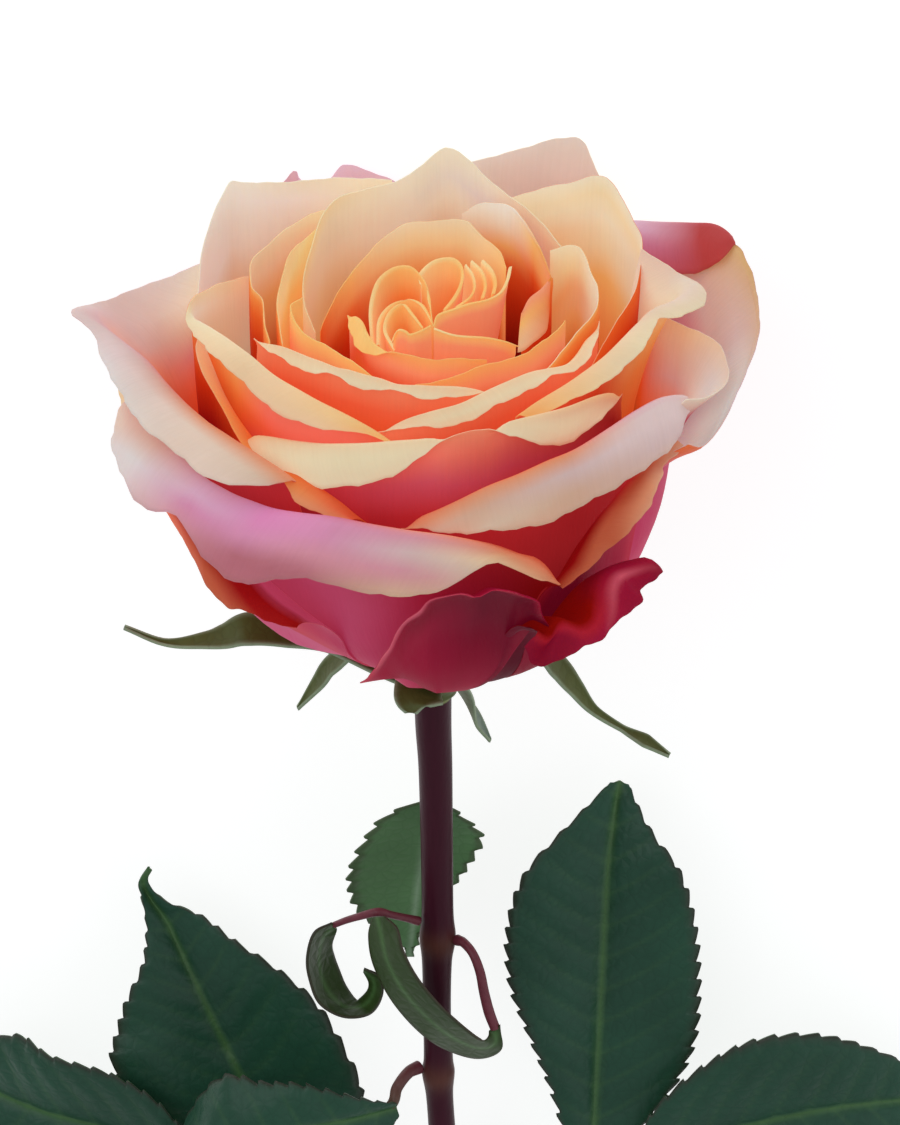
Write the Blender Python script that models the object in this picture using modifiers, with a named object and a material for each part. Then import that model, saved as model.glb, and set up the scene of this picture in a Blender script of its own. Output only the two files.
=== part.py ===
"""A cut rose, laid on its side: bloom, calyx, stem, two compound leaves, a small leaf and two narrow bracts.

Lengths are in millimetres until the last step, which turns them into metres. The bloom frame has its
first axis to the right, its second to the front of the bloom and its third up along the stem.
"""
import collections
import itertools
import math

import bmesh
import bpy
import numpy as np

# Driving sizes, in millimetres
BLOOM_WIDTH = 105.0
STEM_END = -200.0
STEM_RADIUS = 2.5
REST_RADIUS = 46.0
REST_HEIGHT = 49.2
PETAL_THICKNESS = 0.62
BLADE_THICKNESS = 0.62
GAP = 0.3
METRES = 0.001

# The view that the marks were read in: pixels of a picture, 900 by 1125
BLOOM_WIDTH_MARKS = 687.0
PICTURE_CENTRE = (450.0, 562.5)
BASE_MARK = (436.0, 648.0)
VIEW_RISE = math.radians(35.0)
VIEW_DISTANCE = 1500.0
PIXEL = BLOOM_WIDTH / BLOOM_WIDTH_MARKS

# The cup that the petals follow: narrow at the neck, swelling fast, then nearly upright, a little wider on the
# left, at the sides and at the back; petals that reach beyond it flare out near their crest
NECK_RADIUS = 6.0
BELLY = 29.5
BELLY_LEFT = 2.6
BELLY_SIDES = 3.0
BELLY_BACK = 8.0
SWELL_HEIGHT = 11.0
FLARE_POWER = 6.0
ROOT_TUCK = 3.0
CLAW_SHARE = 0.5
CLAW_HEIGHT = 24.0
CUP_STEPS = (0.0, 0.3, 0.62, 0.92)
INNER_CUP_STEPS = (0.0, 0.5, 0.92)
OUTER_RADIUS = 40.0
CURL_STEPS = (0.0, 0.5)
CURL_DEPTH = 20.0
FLAP_FALL = 0.11

# Bloom axis in the laid pose
LEAN = math.atan((REST_RADIUS - STEM_RADIUS) / (REST_HEIGHT - STEM_END))

# A petal's stations, from one side to the other: crest pixel, distance in front of the bloom's axis and,
# where the rim is rolled over, the pixel of the rim's edge, with its own distance where it differs much.
CUP_PETALS = {
    "back_tall": [(315, 332, -2), (303, 295, -8), (310, 255, -14), (335, 200, -22), (402, 179, -27),
                  (445, 147, -30), (471, 163, -29), (490, 182, -28), (530, 212, -22), (563, 248, -14)],
    "back_left": [(197, 298, -14), (203, 252, -20), (217, 208, -25), (230, 182, -28), (275, 183, -31),
                  (327, 178, -34), (392, 179, -36)],
    "back_right_tall": [(440, 180, -40), (471, 163, -41), (530, 146, -41), (566, 137, -40), (584, 142, -39),
                        (599, 178, -36), (625, 225, -30)],
    "back_right": [(490, 205, -32), (520, 195, -31), (570, 182, -30), (606, 177, -28), (634, 221, -20),
                   (641, 245, -15), (635, 290, -7), (615, 325, 0), (590, 370, 8)],
    "back_tip": [(250, 205, -36), (295, 171, -41), (320, 180, -43), (345, 164, -44), (365, 169, -44),
                 (395, 182, -44), (430, 205, -43)],
    "left_inner_outer": [(310, 213, -24), (265, 247, -16), (250, 262, -12), (252, 287, -6), (263, 300, -4),
                         (265, 320, 2), (270, 343, 8)],
    "left_inner": [(315, 225, -20), (292, 250, -13), (284, 270, -8), (278, 300, -3), (279, 320, 2),
                   (283, 343, 8)],
    "left_front_inner": [(302, 297, -4), (290, 307, 0), (303, 332, 6), (333, 348, 10), (375, 379, 16)],
    "inner_back": [(320, 330, 0), (330, 308, -4), (350, 275, -10), (370, 252, -14), (390, 234, -17),
                   (410, 223, -19), (440, 220, -20), (465, 220, -19), (480, 233, -16), (500, 251, -12),
                   (506, 268, -9)],
    "inner_back_right": [(462, 214, -23), (485, 202, -22), (513, 207, -20), (534, 236, -14), (547, 265, -9),
                         (551, 276, -7, 550, 282, -7), (542, 289, -4, 547, 330, -1),
                         (530, 299, -2, 534, 344, 1.5), (522, 312, 0, 518, 352, 3)],
    "right_inner": [(550, 252, -12), (578, 246, -12), (592, 275, -6), (598, 290, -3), (596, 310, 1),
                    (582, 328, 5), (558, 357, 12), (543, 371, 16)],
    "front_ring_left": [(350, 312, 0), (360, 321, 4), (367, 335, 8), (376, 346, 10), (392, 349, 12),
                        (425, 359, 14), (460, 359, 13), (487, 361, 11)],
    "front_ring_right": [(415, 384, 17), (447, 380, 16), (485, 365, 14.5), (525, 354, 11), (555, 332, 4),
                         (565, 320, 0)],
    "front_wavy": [(256, 337, 5, 254, 339), (280, 346, 11, 276, 356), (310, 358, 15, 305, 371),
                   (335, 366, 18, 330, 373), (365, 375, 20, 362, 391), (395, 382, 21, 392, 389),
                   (430, 387, 21.5, 430, 400), (470, 388, 21, 468, 396), (492, 390, 20, 492, 392)],
    "front_right_wavy": [(378, 430, 25, 378, 432), (400, 421, 25, 402, 429), (430, 412, 25.5, 435, 427),
                         (460, 404, 25, 467, 421), (490, 391, 23, 497, 407), (520, 378, 20, 530, 389),
                         (545, 369, 17, 552, 376), (572, 362, 14, 580, 369), (590, 335, 6, 597, 338),
                         (597, 322, 2, 599, 320)],
    "left_mid": [(248, 276, -14), (210, 287, -8), (191, 300, -3), (195, 318, 1, 187, 320),
                 (215, 330, 6, 195, 338), (243, 350, 13, 220, 360), (272, 375, 18, 250, 391),
                 (305, 395, 22, 285, 416), (340, 413, 24.5, 322, 430), (372, 430, 26, 360, 432),
                 (396, 443, 27, 390, 444)],
    "front_centre": [(245, 436, 20, 244, 438), (270, 437, 23.5, 262, 460), (300, 442, 26, 295, 482),
                     (340, 445, 29, 342, 487), (380, 444, 30, 382, 481), (425, 440, 31, 424, 454),
                     (450, 434, 31, 450, 436), (490, 427, 30, 490, 429), (520, 419, 29, 520, 439),
                     (560, 410, 26, 558, 446), (600, 396, 22, 604, 417), (622, 393, 19, 623, 394)],
    "left_under": [(198, 335, 4), (196, 352, 8), (203, 372, 12), (213, 391, 15), (226, 414, 19),
                   (243, 444, 24), (262, 460, 27), (283, 475, 30, 284, 483), (302, 485, 32, 294, 499),
                   (322, 499, 34.5, 320, 513), (350, 520, 37, 350, 521)],
    "right_tongue": [(641, 250, -12), (672, 268, -8), (692, 284, -4, 704, 288), (680, 298, 0, 700, 307),
                     (655, 308, 4, 677, 318), (640, 322, 7, 657, 320), (618, 345, 12, 646, 345),
                     (600, 362, 15, 627, 367), (570, 383, 20, 594, 389), (540, 402, 24, 560, 407),
                     (520, 415, 26.5, 530, 419)],
    "right_mid": [(657, 318, -2), (685, 325, 1), (718, 343, 6), (728, 378, 14), (708, 396, 19),
                  (685, 400, 21)],
    "left_wing": [(200, 263, -22), (150, 284, -17), (105, 300, -10), (84, 311, -4, 72, 312),
                  (113, 335, 1, 90, 331), (140, 357, 6, 106, 365), (170, 390, 13, 126, 405),
                  (207, 421, 20, 160, 441), (245, 447, 26, 208, 477), (272, 466, 30, 246, 487),
                  (291, 480, 32, 282, 483)],
    "right_wing": [(628, 222, -36, 640, 258, -24), (662, 224, -32, 668, 275, -19),
                   (690, 224, -28, 692, 274, -16), (712, 225, -25, 709, 268, -15),
                   (728, 233, -20, 726, 256, -14), (738, 245, -16), (750, 268, -10), (757, 292, -5),
                   (760, 318, 0), (756, 345, 6), (745, 374, 12), (733, 400, 17), (720, 428, 21),
                   (704, 447, 25), (688, 445, 27)],
    "right_front": [(402, 528, 37, 401, 529), (430, 514, 37.5, 430, 530), (460, 500, 38, 462, 533),
                    (490, 486, 38.5, 496, 532), (520, 475, 38, 530, 526), (550, 461, 36.5, 562, 517),
                    (580, 449, 34, 594, 500), (610, 431, 31, 624, 481), (640, 412, 27, 655, 463),
                    (664, 399, 23, 674, 443), (687, 397, 17, 691, 408)],
    "right_low": [(561, 585, 42, 562, 588), (579, 566, 40.5, 590, 569), (585, 553, 39.5, 601, 558),
                  (596, 531, 38, 624, 535), (609, 511, 36, 644, 514), (620, 497, 34, 656, 497),
                  (634, 478, 31, 662, 475), (650, 458, 27.5, 665, 463), (670, 437, 23, 684, 446)],
    "front_left_band": [(124, 402, 5, 119, 411), (150, 430, 12, 115, 442), (185, 460, 20, 131, 486),
                        (215, 484, 26, 166, 511), (243, 499, 30, 197, 546), (280, 511, 35, 233, 583),
                        (330, 518, 40, 287, 578), (380, 527, 43, 348, 588), (430, 534, 44, 400, 598),
                        (475, 543, 44.5, 445, 588), (512, 554, 45, 492, 563), (538, 566, 44.5, 534, 577),
                        (562, 585, 43, 559, 584)],
    "left_low": [(150, 480, 18, 171, 512), (173, 506, 25, 189, 548), (198, 532, 30.5, 208, 586),
                 (228, 563, 34.5, 226, 605), (247, 584, 37, 240, 611), (265, 603, 38.5, 258, 618),
                 (284, 618, 39.5, 279, 625), (296, 626, 40, 297, 628)],
    "guard_left": [(361, 683, 31.5), (366, 677, 34), (370, 671, 36), (378, 661, 39), (388, 650, 41.5),
                   (394, 637, 43.5), (405, 622, 46), (421, 613, 47), (431, 602, 48), (446, 597, 48.5),
                   (463, 594, 49), (477, 597, 49), (493, 589, 49.3), (510, 591, 49), (528, 597, 48.5),
                   (540, 601, 48), (544, 615, 47), (552, 627, 45)],
    "guard_right": [(536, 634, 48.5, 524, 646), (548, 640, 49.3, 533, 662), (562, 627, 49.3, 552, 664),
                    (583, 633, 48, 582, 648), (597, 625, 46, 601, 638), (603, 607, 43.5, 621, 618),
                    (605, 588, 41.5, 644, 603), (613, 575, 39.5, 639, 590), (632, 567, 37.5, 653, 581),
                    (652, 562, 35.5, 660, 571)],
}

# How far outside the bowl the walls of the outer petals lie, so that they lap over each other
LAYERS = {"left_wing": -1.4, "right_wing": -0.6, "right_front": -1.2, "front_left_band": 0.8, "left_low": 1.5,
          "right_low": 1.5, "guard_right": 2.4, "guard_left": 2.8, "back_tip": -1.5, "back_outer_left": 0.0,
          "back_outer_right": 0.0, "back_outer_centre": 0.6}

# Petals at the back, out of the picture: middle bearing, half spread, radius and height of the crest,
# and the reach and drop of the rolled rim
BACK_PETALS = {
    "back_outer_left": (-126.0, 30.0, 46.0, 46.0, 5.0, 4.0),
    "back_outer_right": (134.0, 28.0, 47.0, 48.0, 5.0, 4.0),
    "back_outer_centre": (180.0, 34.0, 46.6, 52.0, 3.5, 5.0),
}

CURL_PETALS = {
    "heart_left": [(373, 345, 6), (371, 312, 1), (375, 290, -3), (382, 277, -6), (395, 268, -8),
                   (410, 267, -8), (420, 275, -6), (428, 290, -2), (433, 325, 6)],
    "heart_left_fold": [(378, 345, 7), (380, 320, 3), (392, 305, 0), (408, 300, -1), (422, 305, 1),
                        (432, 322, 5)],
    "heart_left_bud": [(395, 350, 9), (385, 330, 6), (390, 313, 3), (403, 304, 1), (412, 313, 3),
                       (423, 327, 6)],
    "heart_right": [(424, 285, -5), (423, 272, -7), (435, 263, -9), (450, 258, -10), (462, 266, -8),
                    (470, 280, -4), (468, 296, 0), (456, 309, 3)],
    "heart_right_fold": [(440, 311, 4), (450, 297, 0), (456, 278, -4), (460, 270, -6)],
    "heart_right_curl": [(466, 262, -10), (480, 268, -9), (495, 272, -7), (497, 284, -4), (488, 299, 0)],
    "heart_wall": [(512, 268, -7), (509, 279, -4), (495, 295, 0), (480, 302, 3), (462, 308, 5),
                   (448, 314, 7), (435, 325, 9)],
    "heart_front": [(434, 328, 10), (455, 335, 10.5), (485, 338, 9.5), (505, 342, 8), (517, 346, 6)],
}

# Core of the bloom, turned about its axis: radius and height
CORE_OUTLINE = [(0.0, 51.0), (5.5, 50.0), (9.0, 46.0), (12.0, 42.0), (16.0, 38.5), (23.0, 35.0), (28.0, 31.0),
                (31.0, 26.0), (29.0, 20.0), (24.0, 13.5), (18.6, 8.6), (13.6, 5.0), (9.2, 2.4), (4.8, 0.9),
                (0.0, 0.9)]
HIP_OUTLINE = [(0.0, 0.6), (4.6, 0.6), (6.0, -0.5), (6.2, -2.0), (5.0, -4.6), (3.5, -6.8), (2.95, -8.0),
               (0.0, -8.0)]

# Stem stations: distance to the right of the axis, height and radius
STEM_COURSE = [(-0.3, -8.3, 2.72), (-0.2, -15.0, 2.62), (0.0, -23.0, 2.52), (0.1, -38.5, 2.45),
               (0.2, -50.5, 2.5), (0.2, -55.4, 2.85), (0.1, -60.3, 2.35), (0.1, -70.0, 2.2),
               (0.3, -79.0, 2.3), (0.3, -82.0, 2.6), (0.5, -86.7, 2.15), (1.0, -95.7, 2.15),
               (1.5, -105.5, 2.3), (1.6, -109.0, 2.6), (1.6, -113.0, 2.3), (1.5, -134.0, 2.3),
               (0.7, -165.0, 2.4), (0.0, STEM_END, STEM_RADIUS)]
STEM_SIDES = 12

# A sepal: middle line with distance in front of the axis, and half widths at its stations
SEPALS = {
    "left": ([(424, 686, 2), (385, 676, 2), (330, 655, 1), (288, 637, 1), (248, 629, 2), (205, 638, 2),
              (165, 638, 2), (124, 627, 2)], [2.0, 2.6, 2.6, 2.6, 2.3, 1.5, 0.8, 0.3]),
    "left_back": ([(427, 676, -2), (400, 672, -7), (362, 662, -12), (328, 681, -15), (299, 708, -16)],
                  [2.0, 2.3, 2.0, 1.5, 0.3]),
    "front": ([(432, 688, 3.5), (424, 694, 6.5), (417, 703, 8.5), (413, 713, 9.5)], [2.0, 3.6, 2.6, 0.8]),
    "right_back": ([(446, 676, -2), (462, 690, -8), (475, 713, -12), (489, 740, -14)],
                   [2.0, 1.9, 1.4, 0.3]),
    "right": ([(449, 682, 0), (496, 662, -3), (538, 650, -5), (562, 664, -6), (579, 685, -6),
               (596, 709, -6), (622, 727, -6), (645, 741, -5), (669, 756, -4)],
              [2.0, 2.4, 2.4, 2.2, 1.6, 0.9, 0.55, 1.2, 0.3]),
}

# Leaf blades: stations from base to tip, each the left edge, the rib and the right edge in pixels,
# then the rib's and the edges' distances in front of the axis
LEAFLETS = {
    "right_end": [((590, 1158), (592, 1160), (596, 1158), -4, -4), ((566, 1132), (594, 1128), (636, 1132), -5, -4),
                  ((551, 1088), (596, 1085), (671, 1090), -7, -5), ((530, 1036), (599, 1030), (694, 1040), -9, -6),
                  ((510, 983), (602, 974), (699, 985), -11, -8), ((508, 925), (605, 915), (695, 925), -13, -10),
                  ((524, 875), (608, 866), (680, 872), -15, -12), ((556, 838), (612, 832), (654, 836), -17, -15),
                  ((588, 806), (616, 802), (636, 803), -19, -18), ((610, 783), (620, 781), (629, 785), -20, -20)],
    "right_side": [((636, 1150), (638, 1154), (644, 1162), -2, -2), ((656, 1108), (672, 1146), (690, 1188), -2, -1),
                   ((703, 1066), (722, 1132), (745, 1200), -2, 0), ((755, 1041), (780, 1118), (800, 1196), -3, 0),
                   ((821, 1036), (840, 1107), (862, 1176), -5, -3), ((881, 1052), (900, 1100), (912, 1142), -8, -7),
                   ((930, 1078), (940, 1095), (944, 1112), -11, -11)],
    "right_hidden": [((580, 1160), (576, 1164), (574, 1168), -5, -5), ((530, 1175), (556, 1200), (590, 1206), -6, -5),
                     ((500, 1225), (545, 1245), (592, 1252), -7, -5), ((484, 1290), (535, 1300), (585, 1308), -8, -6),
                     ((492, 1350), (528, 1355), (562, 1360), -9, -8), ((516, 1395), (523, 1396), (530, 1398), -10, -10)],
    "left_upper": [((268, 1158), (271, 1161), (275, 1158), -4, -4), ((192, 1132), (258, 1116), (350, 1122), -6, -5),
                   ((130, 1100), (240, 1075), (362, 1092), -7, -5), ((112, 1060), (226, 1046), (345, 1050), -9, -6),
                   ((118, 1030), (212, 1018), (318, 1006), -10, -8), ((127, 1000), (199, 990), (280, 972), -11, -9),
                   ((143, 965), (184, 958), (236, 942), -13, -11), ((147, 930), (167, 922), (200, 915), -15, -14),
                   ((142, 900), (150, 898), (165, 900), -16, -15), ((139, 883), (143, 882), (148, 883), -16, -16),
                   ((148, 868), (149, 870), (151, 871), -15, -15)],
    "left_end": [((204, 1160), (206, 1165), (208, 1170), 0, 0), ((160, 1106), (160, 1145), (165, 1186), -2, 0),
                 ((110, 1074), (105, 1128), (110, 1196), -4, -1), ((51, 1056), (45, 1112), (50, 1180), -6, -3),
                 ((16, 1036), (0, 1094), (0, 1150), -9, -6), ((-30, 1046), (-40, 1076), (-36, 1104), -12, -11),
                 ((-64, 1060), (-66, 1064), (-66, 1068), -14, -14)],
    "left_near": [((396, 1103), (397, 1108), (398, 1114), 6, 6), ((356, 1098), (350, 1120), (368, 1160), 9, 9),
                  ((300, 1085), (296, 1130), (312, 1185), 11, 9), ((262, 1083), (250, 1135), (256, 1198), 12, 8),
                  ((225, 1077), (212, 1142), (212, 1204), 11, 6), ((192, 1110), (185, 1155), (185, 1198), 8, 3),
                  ((170, 1160), (166, 1172), (170, 1186), 4, 2)],
    "left_hidden": [((280, 1160), (276, 1164), (272, 1168), -4, -4), ((330, 1205), (290, 1210), (254, 1216), -5, -4),
                    ((356, 1250), (304, 1262), (252, 1274), -6, -4), ((360, 1300), (318, 1316), (270, 1326), -8, -6),
                    ((352, 1356), (330, 1362), (304, 1370), -9, -8), ((343, 1398), (340, 1400), (336, 1402), -10, -10)],
}
LEAF_PARTS = {
    "leaf_left": ["left_upper", "left_end", "left_near", "left_hidden"],
    "leaf_right": ["right_end", "right_side", "right_hidden"],
}
TOOTH_LENGTH = 4.9
TOOTH_DEPTH = 0.9

# Leaf stalks: pixel, distance in front of the axis, radius
STALKS = {
    "leaf_left": [[(419, 1067, 0.4, 1.1), (408, 1073, 2, 0.95), (397, 1088, 4, 0.9), (392, 1104, 5.5, 0.85),
                   (370, 1125, 4, 0.8), (330, 1148, 0, 0.8), (272, 1160, -4, 0.8), (200, 1166, 0, 0.8)]],
    "leaf_right": [[(465.6, 1200, -0.4, 1.1), (490, 1196, -3, 0.95), (540, 1180, -6, 0.85),
                    (580, 1164, -6, 0.8), (594, 1150, -4, 0.8)],
                   [(574, 1168, -6, 0.75), (610, 1160, -4, 0.75), (642, 1152, -2, 0.7)]],
    "bract_left": [[(418.6, 921, 1.0, 0.75), (406, 918, 2, 0.62), (392, 915, 3, 0.6), (378, 912, 3.5, 0.7),
                    (361, 916, 3, 0.6), (347, 920, 2, 0.55), (334, 925, 1, 0.5)]],
    "bract_right": [[(457.2, 940, 1.0, 0.9), (464, 943, 2.4, 0.75), (473, 954, 4.2, 0.7), (480, 972, 5.6, 0.75),
                     (484, 992, 6.6, 0.8), (489, 1012, 7.4, 0.85), (495, 1028, 7.8, 0.8)]],
    "leaf_back": [[(437, 790, -3.4, 0.8), (437, 796, -5.2, 0.75), (436, 809, -6.7, 0.72)]],
}

# Narrow blades: middle line with distance in front of the axis, then the two edges as pixel offsets
# and their distances in front of the middle line
BRACTS = {
    "bract_left": [((334, 925, 1), (-2, -2, 0.5), (3, 5, -0.5)), ((322, 938, 1), (-8, -5, 2), (10, 6, -2)),
                   ((318, 958, 1.5), (-11, 0, 3), (16, -2, -3)), ((321, 978, 2), (-11, 3, 3), (19, -6, -3)),
                   ((330, 995, 2.5), (-10, 9, 3), (16, -9, -3)), ((346, 1008, 3), (-2, 9, 3), (10, -8, -3)),
                   ((364, 1006, 3.5), (6, 8, 2), (-3, -8, -2)), ((374, 993, 4), (8, 3, 1.5), (-6, -3, -1.5)),
                   ((374, 979, 4), (6, -2, 1), (-5, 3, -1)), ((364, 970, 4), (0, -1.5, 0.4), (0, 1.5, -0.4))],
    "bract_right": [((495, 1028, 7.8), (5, -3, 0.4), (-5, 3, -0.4)), ((494, 1043, 8.4), (7, 6, -1), (-8, -4, 1)),
                    ((478, 1047, 9.2), (0, 11, -2), (0, -9, 2)), ((452, 1036, 9.8), (-6, 13, -2.5), (6, -14, 2)),
                    ((428, 1017, 10.0), (-9, 14, -2.5), (10, -14, 2)), ((404, 990, 9.6), (-12, 10, -2.5), (13, -13, 2)),
                    ((388, 960, 8.8), (-14, 5, -2.5), (15, -10, 2)), ((382, 934, 7.4), (-13, 2, -2), (15, -6, 1.5)),
                    ((378, 917, 6.0), (-5, 0, -0.6), (6, -1, 0.6))],
    "leaf_back": [((436, 806, -6.4), (-4, 1, 0), (4, 1, 0)), ((430, 818, -7.5), (-38, 2, 1), (34, 2, 0.6)),
                  ((426, 836, -9), (-60, 4, 2), (55, 2, 1)), ((422, 858, -10.5), (-70, 10, 2.5), (48, 4, 1)),
                  ((418, 882, -12), (-67, 10, 2.5), (36, 2, 1)), ((415, 908, -13.5), (-52, 8, 2), (24, 2, 0.8)),
                  ((412, 934, -14.5), (-20, 0, 1), (8, 0, 0.4)), ((410, 956, -15), (-1.5, 0, 0), (1.5, 0, 0))],
}

COLOURS = {
    "bloom": (0.80, 0.36, 0.20, 1.0),
    "calyx": (0.09, 0.13, 0.05, 1.0),
    "stem": (0.05, 0.012, 0.028, 1.0),
    "leaf_left": (0.02, 0.06, 0.035, 1.0),
    "leaf_right": (0.02, 0.06, 0.035, 1.0),
    "leaf_back": (0.08, 0.15, 0.07, 1.0),
    "bract_left": (0.04, 0.08, 0.03, 1.0),
    "bract_right": (0.09, 0.09, 0.03, 1.0),
}
ROUGHNESS = 0.5


def seen_points(marks):
    """Bloom-frame points of marks: pixel x, pixel y, distance in front of the axis."""
    marks = np.asarray(marks, dtype=float)
    side = (marks[:, 0] - BASE_MARK[0]) * PIXEL
    lift = (BASE_MARK[1] - marks[:, 1]) * PIXEL
    plane = np.stack([side, -lift * math.sin(VIEW_RISE), lift * math.cos(VIEW_RISE)], axis=1)
    centre_side = (PICTURE_CENTRE[0] - BASE_MARK[0]) * PIXEL
    centre_lift = (BASE_MARK[1] - PICTURE_CENTRE[1]) * PIXEL
    eye = np.array([
        centre_side,
        VIEW_DISTANCE * math.cos(VIEW_RISE) - centre_lift * math.sin(VIEW_RISE),
        VIEW_DISTANCE * math.sin(VIEW_RISE) + centre_lift * math.cos(VIEW_RISE),
    ])
    share = (eye[1] - marks[:, 2]) / (eye[1] - plane[:, 1])
    return eye + share[:, None] * (plane - eye)


def laid(points):
    """World points, in metres, of bloom-frame points: the rose lies on its back on the plane z = 0."""
    points = np.asarray(points, dtype=float)
    sine = math.sin(LEAN)
    cosine = math.cos(LEAN)
    side = points[..., 0]
    front = points[..., 1] + REST_RADIUS
    up = points[..., 2] - REST_HEIGHT
    return np.stack([side, up * cosine - front * sine, up * sine + front * cosine], axis=-1) * METRES


def smooth_curve(points, places):
    """A Catmull-Rom curve through points, read at places from 0 to the last point's number."""
    points = np.asarray(points, dtype=float)
    padded = np.vstack([2 * points[0] - points[1], points, 2 * points[-1] - points[-2]])
    start = np.clip(np.floor(places).astype(int), 0, len(points) - 2)
    share = (np.asarray(places) - start)[:, None]
    before, here, there, after = (padded[start + step] for step in range(4))
    return 0.5 * (2 * here + (there - before) * share
                  + (2 * before - 5 * here + 4 * there - after) * share ** 2
                  + (3 * here - before - 3 * there + after) * share ** 3)


def even_places(points, count):
    """Places along a row of points that are evenly far apart."""
    steps = np.linalg.norm(np.diff(points, axis=0), axis=1)
    walked = np.concatenate([[0.0], np.cumsum(steps)])
    return np.interp(np.linspace(0.0, walked[-1], count), walked, np.arange(len(points)))


def smooth_step(value):
    value = np.clip(value, 0.0, 1.0)
    return value * value * (3.0 - 2.0 * value)


def root_height(radius):
    """Height at which a petal leaves the core: the outermost petals start at the neck."""
    return np.interp(radius, [10.0, 16.0, 24.0, 30.0, 34.0, 38.0, 40.0, 40.5],
                     [36.0, 32.0, 29.0, 25.0, 21.0, 16.0, 12.0, 0.0])


def petal_stations(stations, count):
    """Crest and rim edge points of a petal at evenly spaced places across it."""
    crest = seen_points([station[:3] for station in stations])
    rolled = np.array([len(station) > 3 for station in stations])
    marks = [station if len(station) > 3 else tuple(station) + tuple(station[:2]) for station in stations]
    edge = seen_points([(m[3], m[4], m[5] if len(m) > 5 else m[2] + FLAP_FALL * (m[4] - m[1])) for m in marks])
    outward = crest * np.array([1.0, 1.0, 0.0])
    outward /= np.linalg.norm(outward, axis=1)[:, None]
    plain = crest + outward * 1.3 + np.array([0.0, 0.0, -0.5])
    edge = np.where(rolled[:, None], edge, plain)
    places = even_places(crest, count)
    return smooth_curve(crest, places), smooth_curve(edge, places)


def cup_rows(crest, edge, layer=0.0):
    """Rows of a petal that swells from the neck to its crest and rolls over to its edge."""
    angle = np.unwrap(np.arctan2(crest[:, 0], crest[:, 1]))
    radius = np.hypot(crest[:, 0], crest[:, 1])
    aside = np.sin(angle)
    behind = 0.5 - 0.5 * np.cos(angle)
    belly = BELLY + layer - BELLY_LEFT * aside + BELLY_SIDES * aside ** 2 + BELLY_BACK * behind ** 3
    bowl = NECK_RADIUS + belly * (1.0 - np.exp(-crest[:, 2] / SWELL_HEIGHT))
    flare = np.maximum(radius - bowl, 0.0)
    share = np.minimum(radius / bowl, 1.0)
    start = root_height(radius.mean())
    middle = 0.5 * (angle.max() + angle.min())
    rows = []
    for step in CUP_STEPS if radius.mean() > OUTER_RADIUS else INNER_CUP_STEPS:
        height = start + (crest[:, 2] - start) * step ** 1.3
        bowl = NECK_RADIUS + belly * (1.0 - np.exp(-height / SWELL_HEIGHT))
        reach = bowl * share + flare * (height / crest[:, 2]) ** FLARE_POWER
        if step == 0.0:
            reach = reach - ROOT_TUCK
        if start < 1.0 and step == 0.0:
            height = height + 1.6
            reach = reach * 0.0 + NECK_RADIUS - 2.0
        fan = CLAW_SHARE + (1.0 - CLAW_SHARE) * smooth_step(height / CLAW_HEIGHT)
        turn = middle + (angle - middle) * fan
        rows.append(np.stack([reach * np.sin(turn), reach * np.cos(turn), height], axis=1))
    fall = np.linalg.norm(edge - crest, axis=1)[:, None]
    crown = 0.5 * (crest + edge) + fall * np.array([0.0, 0.0, 0.12])
    return np.array(rows + [crest, crown, edge])


def curl_rows(crest):
    """Rows of a heart petal: a wall that stands almost straight up out of the core."""
    rows = []
    for step in CURL_STEPS:
        narrow = 0.58 + 0.42 * step ** 0.7
        rows.append(crest * np.array([narrow, narrow, 1.0]) - np.array([0.0, 0.0, CURL_DEPTH * (1.0 - step)]))
    return np.array(rows + [crest])


def back_stations(bearing, half_spread, radius, height, reach, drop, count):
    """Crest and edge of a petal that is placed by its bearing round the axis."""
    share = np.linspace(-1.0, 1.0, count)
    turn = np.radians(bearing + half_spread * share)
    rise = height - 9.0 * share ** 4
    wide = radius - 1.5 * share ** 2
    crest = np.stack([wide * np.sin(turn), wide * np.cos(turn), rise], axis=1)
    rim = wide + reach * (1.0 - 0.6 * share ** 4)
    edge = np.stack([rim * np.sin(turn), rim * np.cos(turn), rise - drop * (1.0 - share ** 4)], axis=1)
    return crest, edge


def new_object(name, mesh):
    thing = bpy.data.objects.new(name, mesh)
    bpy.context.scene.collection.objects.link(thing)
    return thing


def applied(thing, name, weld=0.0):
    """The evaluated mesh of an object as a new object in world space; the old one is removed."""
    depsgraph = bpy.context.evaluated_depsgraph_get()
    mesh = bpy.data.meshes.new_from_object(thing.evaluated_get(depsgraph))
    mesh.transform(thing.matrix_world)
    bpy.data.objects.remove(thing)
    if weld:
        work = bmesh.new()
        work.from_mesh(mesh)
        bmesh.ops.remove_doubles(work, verts=work.verts, dist=weld)
        bmesh.ops.recalc_face_normals(work, faces=work.faces)
        bmesh.ops.triangulate(work, faces=work.faces)
        work.to_mesh(mesh)
        work.free()
    return new_object(name, mesh)


def sheet(name, grid, thickness):
    """A closed blade of one thickness on a grid of world points, cut into triangles alike on both faces."""
    rows, columns = grid.shape[:2]
    number = np.arange(rows * columns).reshape(rows, columns)
    corners = [number[:-1, :-1], number[:-1, 1:], number[1:, 1:], number[1:, :-1]]
    quads = np.stack(corners, axis=-1).reshape(-1, 4)
    mesh = bpy.data.meshes.new(name)
    mesh.from_pydata(grid.reshape(-1, 3).tolist(), [], quads.tolist())
    work = bmesh.new()
    work.from_mesh(mesh)
    bmesh.ops.triangulate(work, faces=work.faces, quad_method="SHORT_EDGE")
    work.to_mesh(mesh)
    work.free()
    blade = new_object(name, mesh)
    shell = blade.modifiers.new("thickness", "SOLIDIFY")
    shell.thickness = thickness * METRES
    shell.offset = 0.0
    return applied(blade, name)


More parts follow.
